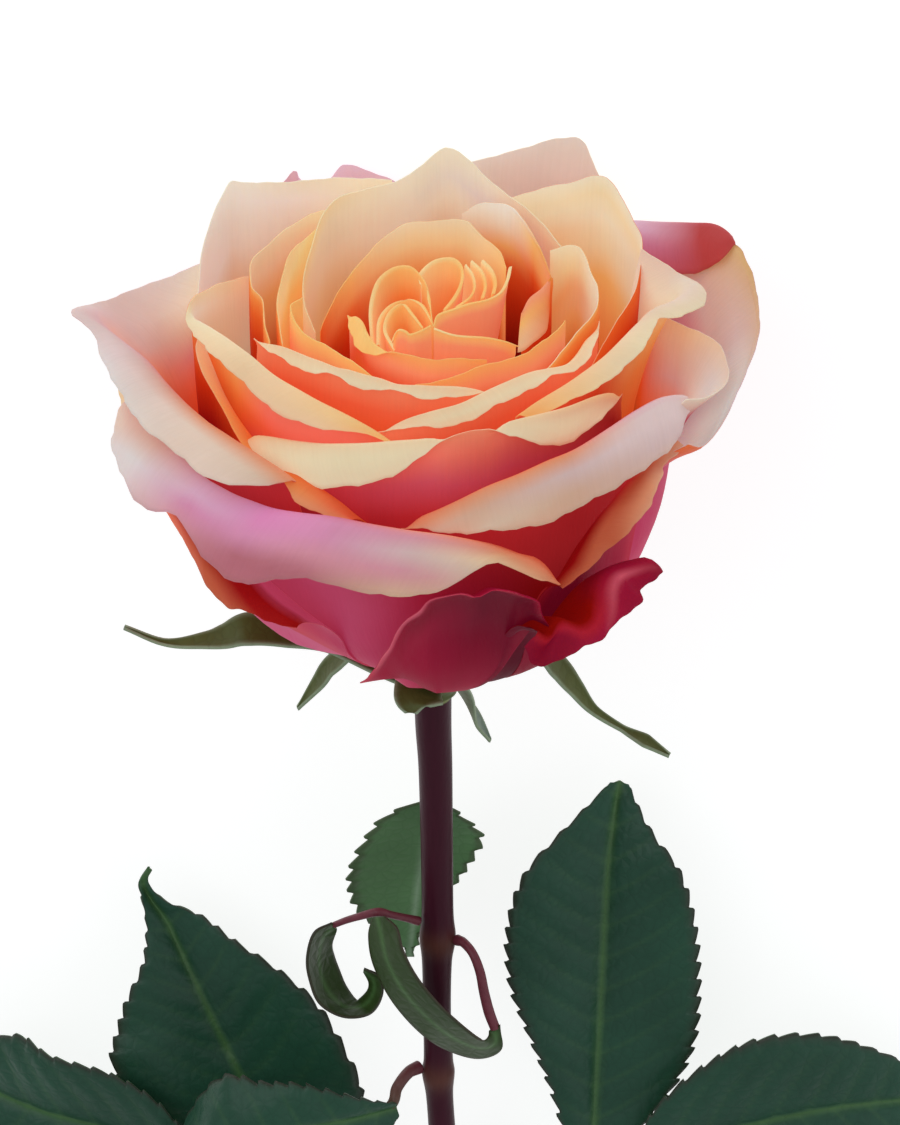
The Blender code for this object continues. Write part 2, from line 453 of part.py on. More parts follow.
def turned(name, outline, steps):
    """A solid turned about the bloom's axis from its outline of radius and height."""
    mesh = bpy.data.meshes.new(name)
    points = [(radius * METRES, 0.0, height * METRES) for radius, height in outline]
    mesh.from_pydata(points, [(place, place + 1) for place in range(len(points) - 1)], [])
    solid = new_object(name, mesh)
    origin = laid(np.zeros(3))
    solid.location = origin
    solid.rotation_euler = (LEAN - math.pi / 2.0, 0.0, 0.0)
    screw = solid.modifiers.new("turn", "SCREW")
    screw.steps = steps
    screw.render_steps = steps
    screw.use_merge_vertices = True
    screw.merge_threshold = 0.00001
    bpy.context.view_layer.update()
    return applied(solid, name, weld=0.00001)


def tube(name, points, radii, sides_level):
    """A round stalk along world points, with a radius at each."""
    curve = bpy.data.curves.new(name, "CURVE")
    curve.dimensions = "3D"
    curve.bevel_depth = METRES
    curve.bevel_resolution = sides_level
    curve.use_fill_caps = True
    spline = curve.splines.new("POLY")
    spline.points.add(len(points) - 1)
    for place, (point, radius) in enumerate(zip(points, radii)):
        spline.points[place].co = (*point, 1.0)
        spline.points[place].radius = radius
    return applied(new_object(name, curve), name, weld=0.00001)


def cut_into_triangles(work):
    """Triangles only, and no new edge between two corners that are joined elsewhere too."""
    wide = [face for face in work.faces if len(face.verts) > 3]
    shared = collections.Counter(
        frozenset(pair) for face in wide for pair in itertools.combinations(face.verts, 2))
    crowded = []
    for face in wide:
        sides = {frozenset(edge.verts) for edge in face.edges}
        for pair in itertools.combinations(face.verts, 2):
            if frozenset(pair) not in sides and (shared[frozenset(pair)] > 1 or work.edges.get(pair)):
                crowded.append(face)
                break
    bmesh.ops.poke(work, faces=crowded)
    bmesh.ops.triangulate(work, faces=work.faces)


def keep_one_body(mesh):
    """Drop what fusing leaves loose or seals: only the largest closed skin stays."""
    work = bmesh.new()
    work.from_mesh(mesh)
    cut_into_triangles(work)
    waiting = set(work.faces)
    skins = []
    while waiting:
        skin = [waiting.pop()]
        for face in skin:
            for edge in face.edges:
                for other in edge.link_faces:
                    if other in waiting:
                        waiting.remove(other)
                        skin.append(other)
        skins.append(skin)
    skins.sort(key=len, reverse=True)
    loose = [face for skin in skins[1:] for face in skin]
    bmesh.ops.delete(work, geom=loose, context="FACES")
    work.to_mesh(mesh)
    work.free()


def fuse(name, pieces):
    """One body made of pieces that sink into each other."""
    base = pieces[0]
    others = bpy.data.collections.new(name + "_pieces")
    bpy.context.scene.collection.children.link(others)
    for piece in pieces[1:]:
        others.objects.link(piece)
    join = base.modifiers.new("fuse", "BOOLEAN")
    join.operation = "UNION"
    join.operand_type = "COLLECTION"
    join.collection = others
    join.solver = "MANIFOLD"
    bpy.context.view_layer.update()
    body = applied(base, name)
    for piece in pieces[1:]:
        bpy.data.objects.remove(piece)
    bpy.data.collections.remove(others)
    keep_one_body(body.data)
    return body


def clear_table(grid, thickness):
    """World points lifted so that a blade of this thickness lies on the table and not under it."""
    grid[..., 2] = np.maximum(grid[..., 2], 0.5 * thickness * METRES)
    return grid


def make_bloom():
    pieces = [turned("core", CORE_OUTLINE, 16)]
    for name, stations in CUP_PETALS.items():
        columns = min(7, max(5, len(stations) - 1))
        crest, edge = petal_stations(stations, columns)
        grid = clear_table(laid(cup_rows(crest, edge, LAYERS.get(name, 0.0))), PETAL_THICKNESS)
        pieces.append(sheet(name, grid, PETAL_THICKNESS))
    for name, sizes in BACK_PETALS.items():
        crest, edge = back_stations(*sizes, 6)
        grid = clear_table(laid(cup_rows(crest, edge, LAYERS[name])), PETAL_THICKNESS)
        pieces.append(sheet(name, grid, PETAL_THICKNESS))
    for name, stations in CURL_PETALS.items():
        marks = seen_points(stations)
        crest = smooth_curve(marks, even_places(marks, 6))
        pieces.append(sheet(name, laid(curl_rows(crest)), PETAL_THICKNESS))
    bloom = fuse("bloom", pieces)
    flat = 0.1 * METRES
    for corner in bloom.data.vertices:
        if corner.co.z < flat:
            corner.co.z = 0.0
    return bloom


def band_grid(points, half_widths, count):
    """Rows across a narrow blade: both edges and a raised middle, square to its line."""
    points = np.asarray(points)
    places = np.linspace(0.0, len(points) - 1.0, count)
    middle = smooth_curve(points, places)
    half = np.interp(places, np.arange(len(points)), half_widths)
    along = np.gradient(middle, axis=0)
    along /= np.linalg.norm(along, axis=1)[:, None]
    across = np.cross(along, np.array([0.0, 0.35, 0.94]))
    across /= np.linalg.norm(across, axis=1)[:, None]
    keel = np.cross(along, across)
    keel *= np.sign(keel[:, 2:3])
    left = middle - across * half[:, None] + keel * 0.35
    right = middle + across * half[:, None] + keel * 0.35
    return np.stack([left, middle, right], axis=1)


def make_calyx():
    pieces = [turned("hip", HIP_OUTLINE, 14)]
    for name, (marks, half_widths) in SEPALS.items():
        grid = band_grid(seen_points(marks), half_widths, 2 * len(marks) - 2)
        pieces.append(sheet(name, laid(grid), BLADE_THICKNESS))
    return fuse("calyx", pieces)


def make_stem():
    course = np.array(STEM_COURSE)
    places = np.linspace(0.0, len(course) - 1.0, 2 * len(course) - 1)
    side, height, thick = smooth_curve(course, places).T
    line = np.stack([side, 0.0 * side, height], axis=1)
    return tube("stem", laid(line), thick, (STEM_SIDES - 4) // 2)


def toothed(middle, edge, count):
    """Every second point of an edge is drawn out from the middle line as the tip of a tooth."""
    outward = edge - middle
    width = np.linalg.norm(outward, axis=1)[:, None]
    forward = np.gradient(edge, axis=0)
    forward /= np.maximum(np.linalg.norm(forward, axis=1)[:, None], 0.001)
    tip = (np.arange(count) % 2)[:, None] * np.clip(width / 3.0, 0.0, 1.0)
    return edge + tip * TOOTH_DEPTH * (outward / np.maximum(width, 0.001) + 0.6 * forward)


def leaflet_grid(stations):
    """Rows across a leaf blade: toothed edges, quarters and the rib, from base to tip."""
    middle = seen_points([(*rib, depth) for _, rib, _, depth, _ in stations])
    left = seen_points([(*mark, depth) for mark, _, _, _, depth in stations])
    right = seen_points([(*mark, depth) for _, _, mark, _, depth in stations])
    length = np.linalg.norm(np.diff(middle, axis=0), axis=1).sum()
    count = 2 * int(length / TOOTH_LENGTH) + 1
    places = np.linspace(0.0, len(stations) - 1.0, count)
    middle = smooth_curve(middle, places)
    left = toothed(middle, smooth_curve(left, places), count)
    right = toothed(middle, smooth_curve(right, places), count)
    bow = 0.12 * np.linalg.norm(left - right, axis=1)[:, None] * np.array([0.0, 0.5, 0.3])
    inner_left = 0.5 * (middle + left) + 0.4 * bow
    inner_right = 0.5 * (middle + right) + 0.4 * bow
    return np.stack([left, inner_left, middle, inner_right, right], axis=1)


def bract_grid(stations, count):
    """Rows across a bract: its two edges and the middle line."""
    rows = []
    for (x, y, depth), (left_x, left_y, left_depth), (right_x, right_y, right_depth) in stations:
        rows.append([(x + left_x, y + left_y, depth + left_depth), (x, y, depth),
                     (x + right_x, y + right_y, depth + right_depth)])
    rows = np.array(rows)
    places = np.linspace(0.0, len(stations) - 1.0, count)
    return np.stack([smooth_curve(seen_points(rows[:, line]), places) for line in range(3)], axis=1)


def stalk(name, marks):
    marks = np.array(marks)
    places = np.linspace(0.0, len(marks) - 1.0, 2 * len(marks))
    line = smooth_curve(seen_points(marks[:, :3]), places)
    radii = np.interp(places, np.arange(len(marks)), marks[:, 3])
    return tube(name, laid(line), radii, 1)


def make_leaf(name):
    pieces = [stalk(name + "_stalk", marks) for marks in STALKS[name]]
    for part in LEAF_PARTS[name]:
        grid = clear_table(laid(leaflet_grid(LEAFLETS[part])), BLADE_THICKNESS)
        pieces.append(sheet(part, grid, BLADE_THICKNESS))
    return fuse(name, pieces)


def make_bract(name):
    pieces = [stalk(name + "_stalk", marks) for marks in STALKS[name]]
    pieces.append(sheet(name + "_blade", laid(bract_grid(BRACTS[name], 17)), BLADE_THICKNESS))
    return fuse(name, pieces)


def finish(thing, collection):
    """Give an object its material and its place in the part's collection."""
    material = bpy.data.materials.new(thing.name)
    material.use_nodes = True
    shader = material.node_tree.nodes["Principled BSDF"]
    shader.inputs["Base Color"].default_value = COLOURS[thing.name]
    shader.inputs["Roughness"].default_value = ROUGHNESS
    shader.inputs["Metallic"].default_value = 0.0
    thing.data.materials.clear()
    thing.data.materials.append(material)
    thing.data.shade_smooth()
    thing.data.set_sharp_from_angle(angle=math.radians(50.0))
    collection.objects.link(thing)
    bpy.context.scene.collection.objects.unlink(thing)


def main():
    for thing in list(bpy.data.objects):
        bpy.data.objects.remove(thing)
    collection = bpy.data.collections.new("rose_flower")
    bpy.context.scene.collection.children.link(collection)
    things = [make_bloom(), make_calyx(), make_stem()]
    things += [make_leaf(name) for name in LEAF_PARTS]
    things += [make_bract(name) for name in BRACTS]
    for thing in things:
        finish(thing, collection)


main()
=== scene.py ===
"""A cut rose laid on a pale floor: its bloom of layered petals, its calyx, stem, leaves and bracts.

Lengths are millimetres in the bloom's own frame, whose first axis points to the right, the second to the
front of the bloom and the third up along the stem. A piece becomes metres when it is laid on the floor.
"""
import logging
import math
from dataclasses import dataclass, field
from enum import Enum
from typing import Any, Dict, List, Optional, Sequence, Tuple, Union

import bpy
import numpy as np
from mathutils import Matrix, Vector


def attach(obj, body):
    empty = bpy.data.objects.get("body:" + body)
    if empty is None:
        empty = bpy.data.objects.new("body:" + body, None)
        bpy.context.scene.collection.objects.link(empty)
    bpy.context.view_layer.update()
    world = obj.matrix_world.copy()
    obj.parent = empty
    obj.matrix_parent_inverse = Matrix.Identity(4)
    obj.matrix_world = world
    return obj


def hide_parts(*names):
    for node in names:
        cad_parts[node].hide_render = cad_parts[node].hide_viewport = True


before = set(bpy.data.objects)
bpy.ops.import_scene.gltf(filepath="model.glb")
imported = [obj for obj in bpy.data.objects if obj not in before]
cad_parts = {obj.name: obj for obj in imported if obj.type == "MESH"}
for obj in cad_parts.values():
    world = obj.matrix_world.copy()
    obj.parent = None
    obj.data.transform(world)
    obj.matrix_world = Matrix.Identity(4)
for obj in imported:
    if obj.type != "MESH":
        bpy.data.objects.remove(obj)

LOG = logging.getLogger("rose")
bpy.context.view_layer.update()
METRES = 0.001

# Where the extra lines beside a blade's sides lie, as a share of a step.
BORDER_STEP = 0.1

# A direction that no tube runs in: each of its rings starts square to it.
RING_WAY = (0.18, 0.97, 0.16)

Triple = Tuple[float, float, float]
Station = Sequence[float]

# How much of red, green and blue the warm light of the room leaves to the hues.
DYE = np.array((0.88, 0.97, 0.96))


class Hue(Enum):
    """Colours of the rose, in display values from 0 to 255."""

    CREAM = (233, 206, 170)
    IVORY = (240, 216, 180)
    BUTTER = (242, 206, 152)
    HONEY = (244, 186, 114)
    PEACH = (236, 192, 154)
    SHELL = (226, 192, 176)
    APRICOT = (240, 164, 98)
    ORANGE = (236, 132, 66)
    TANGERINE = (228, 98, 42)
    FLAME = (206, 56, 20)
    EMBER = (140, 14, 8)
    SALMON = (243, 146, 112)
    CORAL = (232, 98, 66)
    BLUSH = (220, 186, 184)
    PINK = (210, 136, 150)
    LILAC = (212, 134, 166)
    ROSE = (206, 84, 104)
    CHERRY = (200, 48, 54)
    MAGENTA = (184, 46, 84)
    CRIMSON = (164, 26, 44)
    GARNET = (128, 14, 40)
    WINE = (84, 6, 28)
    TAN = (216, 180, 158)
    MAUVE = (176, 100, 112)
    DUSK = (208, 172, 170)
    MIST = (222, 208, 206)
    PEARL = (238, 222, 198)
    HOT_PINK = (204, 82, 118)
    BRICK = (176, 60, 60)
    CLARET = (150, 18, 50)
    RUBY = (182, 32, 60)
    BLOOD = (146, 14, 18)
    MELON = (242, 122, 104)
    MILK = (240, 232, 222)
    CLAY = (208, 160, 138)
    TERRA = (222, 140, 106)
    OCHRE = (204, 154, 108)
    ASH = (204, 184, 182)
    RUST = (186, 84, 58)
    ORCHID = (222, 130, 176)
    VEIL = (220, 172, 196)
    BORDEAUX = (104, 8, 34)
    SEPAL = (88, 92, 44)
    SEPAL_BACK = (122, 132, 118)
    SEPAL_RIM = (150, 158, 128)
    STEM = (68, 20, 36)
    STEM_NODE = (96, 52, 46)
    STEM_CUT = (150, 150, 96)
    STALK = (116, 48, 60)
    STALK_GREEN = (84, 92, 52)
    LEAF = (34, 72, 54)
    LEAF_BACK = (84, 112, 84)
    LEAF_VEIN = (80, 112, 62)
    LEAF_RIM = (70, 44, 44)
    YOUNG = (92, 128, 82)
    YOUNG_VEIN = (150, 168, 140)
    BRACT = (48, 66, 26)
    BRACT_DARK = (24, 46, 32)
    BRACT_OLIVE = (74, 56, 38)

    @property
    def linear(self) -> np.ndarray:
        """The hue in linear light."""
        share = np.array(self.value) / 255.0
        bright = np.where(share <= 0.04045, share / 12.92, ((share + 0.055) / 1.055) ** 2.4)
        return bright * DYE


class Slot(Enum):
    """Names of material slots, passed with each piece but not used."""

    PETALS = "petals"
    SEPALS = "sepals"
    STEM = "stem"
    LEAVES = "leaves"
    YOUNG_LEAF = "young_leaf"
    BRACTS = "bracts"


@dataclass(frozen=True)
class View:
    """The picture that the marks were read in, and how a mark becomes a point of the bloom."""

    bloom_width: float = 105.0
    width_marks: float = 687.0
    centre: Tuple[float, float] = (450.0, 562.5)
    base: Tuple[float, float] = (436.0, 648.0)
    height: float = 1125.0
    rise: float = math.radians(35.0)
    distance: float = 1500.0

    @property
    def pixel(self) -> float:
        """Millimetres of one pixel at the bloom's axis."""
        return self.bloom_width / self.width_marks

    @property
    def focus(self) -> np.ndarray:
        """Bloom-frame point in the middle of the picture."""
        side = (self.centre[0] - self.base[0]) * self.pixel
        lift = (self.base[1] - self.centre[1]) * self.pixel
        return np.array([side, -lift * math.sin(self.rise), lift * math.cos(self.rise)])

    @property
    def eye(self) -> np.ndarray:
        """Bloom-frame point that the picture is taken from."""
        way = np.array([0.0, math.cos(self.rise), math.sin(self.rise)])
        return self.focus + self.distance * way

    def points(self, marks: Sequence[Station]) -> np.ndarray:
        """Points on the sight lines of marks, each at its own distance in front of the bloom's axis.

        Args:
            marks: Rows of pixel x, pixel y and distance in front of the axis.

        Returns:
            One bloom-frame point a row.
        """
        marks = np.asarray(marks, dtype=float)
        side = (marks[:, 0] - self.base[0]) * self.pixel
        lift = (self.base[1] - marks[:, 1]) * self.pixel
        plane = np.stack([side, -lift * math.sin(self.rise), lift * math.cos(self.rise)], axis=1)
        share = (self.eye[1] - marks[:, 2]) / (self.eye[1] - plane[:, 1])
        return self.eye + share[:, None] * (plane - self.eye)


@dataclass(frozen=True)
class Pose:
    """How the rose lies: on the back of its bloom, with the end of its stem on the floor."""

    rest_radius: float = 46.0
    rest_height: float = 49.2
    stem_radius: float = 2.5
    stem_end: float = -200.0

    @property
    def lean(self) -> float:
        """Angle between the bloom's axis and the floor."""
        return math.atan((self.rest_radius - self.stem_radius) / (self.rest_height - self.stem_end))

    def turn(self, arrows: np.ndarray) -> np.ndarray:
        """Directions of the bloom's frame as directions of the room."""
        sine = math.sin(self.lean)
        cosine = math.cos(self.lean)
        side, front, up = np.moveaxis(np.asarray(arrows, dtype=float), -1, 0)
        return np.stack([side, up * cosine - front * sine, up * sine + front * cosine], axis=-1)

    def lay(self, points: np.ndarray) -> np.ndarray:
        """Room points in metres of bloom-frame points in millimetres."""
        return self.turn(np.asarray(points) + np.array([0.0, self.rest_radius, -self.rest_height])) * METRES


VIEW = View()
POSE = Pose()

# Marks of the petals of the cup, each from one side of the petal to the other: crest pixel, distance in
# front of the bloom's axis and, where the rim is rolled over, the pixel of the rim's edge, at some marks
# with a distance of its own.
CUP_MARKS = {
    "back_tall": [
        (315, 332, -2), (303, 295, -8), (310, 255, -14), (335, 200, -22), (402, 179, -27), (445, 147, -30),
        (471, 163, -29), (490, 182, -28), (530, 212, -22), (563, 248, -14)],
    "back_left": [
        (197, 298, -14), (203, 252, -20), (217, 208, -25), (226, 188, -27), (231, 181, -28), (241, 182, -29),
        (275, 183, -31), (327, 178, -34), (392, 179, -36)],
    "back_right_tall": [
        (440, 180, -40), (471, 163, -41), (530, 146, -41), (566, 137, -40), (584, 142, -39), (599, 178, -36),
        (625, 225, -30)],
    "back_right": [
        (490, 205, -32), (520, 195, -31), (570, 182, -30), (606, 177, -28), (634, 221, -20), (641, 245, -15),
        (635, 290, -7), (615, 325, 0), (590, 370, 8)],
    "back_tip": [
        (250, 205, -36), (281, 185, -40), (290, 173, -41), (295, 170, -41), (299, 179, -42), (314, 187, -43),
        (328, 182, -43), (338, 169, -44), (345, 164, -44), (365, 169, -44), (395, 182, -44), (430, 205, -43)],
    "left_inner_outer": [
        (348, 212, -29), (318, 211, -25), (290, 226, -20), (265, 247, -16), (250, 262, -12), (252, 287, -6),
        (263, 300, -4), (265, 320, 2), (270, 343, 8)],
    "left_inner": [
        (338, 232, -27), (320, 227, -21), (292, 250, -13), (284, 270, -8), (278, 300, -3), (279, 320, 2),
        (283, 343, 8)],
    "left_front_inner": [(302, 297, -4), (290, 307, 0), (303, 332, 6), (333, 348, 10), (375, 379, 16)],
    "inner_back": [
        (320, 330, 0), (330, 308, -4), (350, 275, -10), (370, 252, -14), (390, 234, -17), (410, 223, -19),
        (440, 220, -20), (465, 220, -19), (480, 233, -16), (500, 251, -12), (506, 268, -9)],
    "inner_back_right": [
        (462, 214, -23), (485, 202, -22), (513, 207, -20), (534, 236, -14), (547, 265, -9),
        (551, 276, -7, 550, 282, -7), (542, 289, -4, 547, 330, -1), (530, 299, -2, 534, 344, 1.5),
        (522, 312, 0, 518, 352, 3)],
    "right_inner": [
        (550, 252, -12), (578, 246, -12), (592, 275, -6), (598, 290, -3), (596, 310, 1), (582, 328, 5),
        (558, 357, 12), (543, 371, 16)],
    "front_ring_left": [
        (350, 312, 0, 348, 315), (360, 321, 4, 351, 334), (367, 335, 8, 357, 350), (376, 346, 10, 371, 356),
        (392, 349, 12, 391, 352), (425, 359, 14), (460, 359, 13), (487, 361, 11)],
    "front_ring_right": [
        (415, 384, 17), (447, 380, 16), (485, 365, 14.5), (525, 354, 11), (555, 332, 4), (565, 320, 0)],
    "front_wavy": [
        (256, 337, 5, 254, 339), (280, 346, 11, 276, 356), (310, 358, 15, 305, 371),
        (335, 366, 18, 330, 373), (365, 375, 20, 362, 391), (395, 382, 21, 392, 389),
        (430, 387, 21.5, 430, 400), (470, 388, 21, 468, 396), (492, 390, 20, 492, 392)],
    "front_right_wavy": [
        (378, 430, 25, 378, 432), (400, 421, 25, 402, 429), (430, 412, 25.5, 435, 427),
        (460, 404, 25, 467, 421), (490, 391, 23, 497, 407), (520, 378, 20, 530, 389),
        (545, 369, 17, 552, 376), (572, 362, 14, 580, 369), (590, 335, 6, 597, 338), (597, 322, 2, 599, 320)],
    "left_mid": [
        (248, 276, -14), (210, 287, -8), (191, 300, -3), (195, 318, 1, 187, 320), (215, 330, 6, 195, 338),
        (243, 350, 13, 220, 360), (272, 375, 18, 250, 391), (305, 395, 22, 285, 416),
        (340, 413, 24.5, 322, 430), (372, 430, 26, 360, 432), (396, 443, 27, 390, 444)],
    "front_centre": [
        (245, 436, 20, 244, 438), (270, 437, 23.5, 262, 460), (300, 442, 26, 295, 482),
        (340, 445, 29, 342, 487), (380, 444, 30, 382, 481), (425, 440, 31, 424, 454),
        (450, 434, 31, 450, 436), (490, 427, 30, 490, 429), (520, 419, 29, 520, 439),
        (560, 410, 26, 558, 446), (600, 396, 22, 604, 417), (622, 393, 19, 623, 394)],
    "left_under": [
        (198, 335, 4), (196, 352, 8), (203, 372, 12), (213, 391, 15), (226, 414, 19), (243, 444, 24),
        (262, 460, 27), (283, 475, 30, 284, 483), (302, 485, 32, 294, 499), (322, 499, 34.5, 320, 513),
        (350, 520, 37, 350, 521)],
    "right_tongue": [
        (641, 250, -12), (672, 268, -8), (692, 284, -4, 704, 288), (680, 298, 0, 700, 307),
        (655, 308, 4, 677, 318), (640, 322, 7, 657, 320), (618, 345, 12, 646, 345), (600, 362, 15, 627, 367),
        (570, 383, 20, 594, 389), (540, 402, 24, 560, 407), (520, 415, 26.5, 530, 419)],
    "right_mid": [
        (628, 345, -12), (640, 328, -7), (657, 318, -2), (685, 325, 1), (718, 343, 6), (728, 378, 14),
        (708, 396, 19), (685, 400, 21)],
    "left_wing": [
        (200, 263, -22), (150, 284, -17), (105, 300, -10), (84, 311, -4, 72, 312), (113, 335, 1, 90, 331),
        (140, 357, 6, 106, 365), (170, 390, 13, 126, 405), (207, 421, 20, 160, 441),
        (245, 447, 26, 208, 477), (272, 466, 30, 246, 487), (291, 480, 32, 282, 483)],
    "right_wing": [
        (628, 222, -36, 640, 258, -24), (662, 224, -32, 668, 275, -19), (690, 224, -28, 692, 274, -16),
        (712, 225, -25, 709, 268, -15), (728, 233, -20, 726, 256, -14), (738, 245, -16), (750, 268, -10),
        (757, 292, -5), (760, 318, 0), (756, 345, 6), (745, 374, 12), (733, 400, 17), (720, 428, 21),
        (704, 447, 25), (688, 445, 27)],
    "right_front": [
        (402, 528, 37, 401, 529), (430, 514, 37.5, 430, 530), (460, 500, 38, 462, 533),
        (490, 486, 38.5, 496, 532), (520, 475, 38, 530, 526), (550, 461, 36.5, 562, 517),
        (580, 449, 34, 594, 500), (610, 431, 31, 624, 481), (640, 412, 27, 655, 463),
        (664, 399, 23, 674, 443), (687, 397, 17, 691, 408)],
    "right_low": [
        (561, 585, 42, 562, 588), (579, 566, 40.5, 590, 569), (585, 553, 39.5, 601, 558),
        (596, 531, 38, 624, 535), (609, 511, 36, 644, 514), (620, 497, 34, 656, 497),
        (634, 478, 31, 662, 475), (650, 458, 27.5, 665, 463), (670, 437, 23, 684, 446)],
    "front_left_band": [
        (124, 402, 5, 118, 411), (150, 430, 12, 113, 443), (182, 458, 19.5, 124, 483),
        (204, 477, 24, 146, 508), (224, 489, 27, 173, 515), (246, 500, 30.5, 198, 548),
        (280, 511, 35, 233, 583), (330, 518, 40, 287, 578), (380, 527, 43, 348, 588),
        (430, 534, 44, 400, 598), (475, 543, 44.5, 445, 588), (512, 554, 45, 492, 563),
        (538, 566, 44.5, 534, 577), (562, 585, 43, 559, 584)],
    "left_low": [
        (150, 480, 18, 167, 513), (173, 506, 25, 187, 548), (198, 532, 30.5, 208, 586),
        (228, 563, 34.5, 226, 605), (247, 584, 37, 240, 611), (265, 603, 38.5, 258, 618),
        (284, 618, 39.5, 279, 625), (296, 626, 40, 297, 628)],
    "guard_left": [
        (361, 683, 31.5), (366, 677, 34), (370, 671, 36), (378, 661, 39), (388, 650, 41.5), (394, 637, 43.5),
        (405, 622, 46), (421, 613, 47), (431, 602, 48), (446, 597, 48.5), (463, 594, 49), (477, 597, 49),
        (493, 589, 49.3), (510, 591, 49), (528, 597, 48.5), (540, 601, 48), (544, 615, 47), (552, 627, 45)],
    "guard_right": [
        (536, 634, 48.5, 524, 646), (548, 640, 49.3, 533, 662), (562, 627, 49.3, 552, 664),
        (583, 633, 48, 582, 648), (597, 625, 46, 601, 638), (603, 607, 43.5, 621, 618),
        (605, 588, 41.5, 644, 603), (613, 575, 39.5, 639, 590), (632, 567, 37.5, 653, 581),
        (652, 562, 35.5, 660, 571)],
}

# How far outside the bowl the wall of each outer petal lies, inside it below 0, so that the petals lap over
# each other.
LAYERS = {"left_mid": -6.0, "left_under": -11.0, "right_tongue": -7.0, "left_wing": -1.4, "right_wing": -1.6,
          "right_front": -1.2, "front_left_band": 0.8, "left_low": 1.5, "right_low": 1.5, "guard_right": 1.0,
          "guard_left": 2.8, "back_tip": -1.5, "back_outer_left": 0.0, "back_outer_right": 0.0,
          "back_outer_centre": 0.6}

# Marks of the petals of the heart: crest pixel and distance in front of the axis.
HEART_MARKS = {
    "heart_left": [
        (373, 345, 6), (371, 312, 1), (375, 290, -3), (382, 277, -6), (395, 268, -8), (410, 267, -8),
        (420, 275, -6), (428, 290, -2), (433, 325, 6)],
    "heart_left_fold": [
        (378, 345, 7), (380, 320, 3), (392, 305, 0), (408, 300, -1), (422, 305, 1), (432, 322, 5)],
    "heart_left_bud": [
        (395, 350, 9), (385, 330, 6), (390, 313, 3), (403, 304, 1), (412, 313, 3), (423, 327, 6)],
    "heart_left_front": [
        (393, 340, 9), (396, 332, 9.5), (400, 329, 10), (406, 331, 10.5), (410, 334, 11), (420, 331, 10.5),
        (431, 325, 9.5)],
    "heart_right": [
        (421, 285, -5), (420, 275, -7), (432, 263, -9), (446, 259, -10), (456, 261, -9), (462, 270, -7),
        (461, 284, -3), (454, 298, 0), (444, 310, 3)],
    "heart_right_mid": [(465, 265, -9), (472, 275, -7), (474, 287, -4), (469, 297, -1), (456, 307, 3)],
    "heart_right_outer": [(471, 261, -10), (481, 271, -8), (485, 285, -5), (482, 298, -1)],
    "heart_right_curl": [(482, 261, -11), (491, 271, -9), (495, 283, -6), (493, 294, -2)],
    "heart_wall": [
        (510, 267, -7), (507, 280, -4), (500, 292, -1), (487, 299, 2), (470, 303, 4), (453, 309, 6),
        (438, 315, 8), (434, 325, 9)],
    "heart_front": [(434, 328, 10), (455, 335, 10.5), (485, 338, 9.5), (505, 342, 8), (517, 346, 6)],
}

# Petals behind the bloom: bearing, half spread, radius and height of the crest, reach and drop of the rim.
BACK_PETALS = {
    "back_outer_left": (-126.0, 30.0, 46.0, 46.0, 5.0, 4.0),
    "back_outer_right": (134.0, 28.0, 47.0, 48.0, 5.0, 4.0),
    "back_outer_centre": (180.0, 34.0, 46.6, 52.0, 3.5, 5.0),
}

# Outlines turned about the axis, as radius and height.
CORE_OUTLINE = [(0.0, 40.0), (6.0, 38.0), (10.0, 34.0), (13.0, 29.0), (17.0, 25.0), (20.5, 21.0),
                (22.0, 16.5),
                (20.5, 11.5), (16.0, 7.5), (11.0, 4.2), (7.0, 1.8), (0.0, 0.9)]
HIP_OUTLINE = [(0.0, 0.6), (4.6, 0.6), (6.0, -0.5), (6.2, -2.0), (5.0, -4.6), (3.5, -6.8), (2.95, -8.0),
               (0.0, -8.0)]

# Stem stations: distance to the right of the axis, height and radius; and the heights of its nodes.
STEM_COURSE = [(-0.5, -8.3, 2.88), (-0.4, -15.0, 2.78), (-0.1, -23.0, 2.62), (0.1, -38.5, 2.5),
               (0.2, -50.5, 2.5), (0.2, -55.4, 2.85), (0.1, -60.3, 2.35), (0.1, -70.0, 2.2),
               (0.3, -79.0, 2.3), (0.3, -82.0, 2.6), (0.5, -86.7, 2.15), (1.0, -95.7, 2.15),
               (1.5, -105.5, 2.3), (1.6, -109.0, 2.6), (1.6, -113.0, 2.3), (1.5, -134.0, 2.3),
               (0.7, -165.0, 2.4), (0.0, POSE.stem_end, POSE.stem_radius)]
STEM_NODES = (-55.4, -82.0, -109.0)

# Sepals: middle line with distance in front of the axis, and half widths along it.
SEPALS = {
    "left": (
        [(424, 684, 2), (385, 668, 2), (330, 643, 1), (288, 634, 1), (248, 630, 2), (225, 637, 2),
         (205, 641, 2), (165, 643, 2), (124, 628, 2)],
        [2.0, 2.0, 1.9, 2.6, 3.0, 2.2, 1.5, 0.6, 0.3]),
    "left_back": (
        [(427, 672, -2), (400, 662, -7), (362, 648, -12), (334, 664, -14), (318, 684, -15), (299, 708, -16)],
        [2.0, 2.3, 2.0, 2.0, 1.4, 0.3]),
    "front": ([(430, 688, 3.5), (419, 693, 6.5), (412, 702, 8.5), (411, 713, 9.5)], [2.0, 4.3, 2.9, 0.8]),
    "right_back": ([(446, 676, -2), (460, 690, -8), (472, 713, -12), (489, 740, -14)], [2.0, 2.2, 1.7, 0.3]),
    "right": (
        [(449, 682, 0), (496, 662, -3), (536, 652, -5), (557, 667, -6), (574, 687, -6), (593, 710, -6),
         (622, 729, -6), (645, 741, -5), (669, 756, -4)],
        [2.0, 2.4, 2.4, 2.2, 1.6, 0.9, 0.55, 1.2, 0.3]),
}

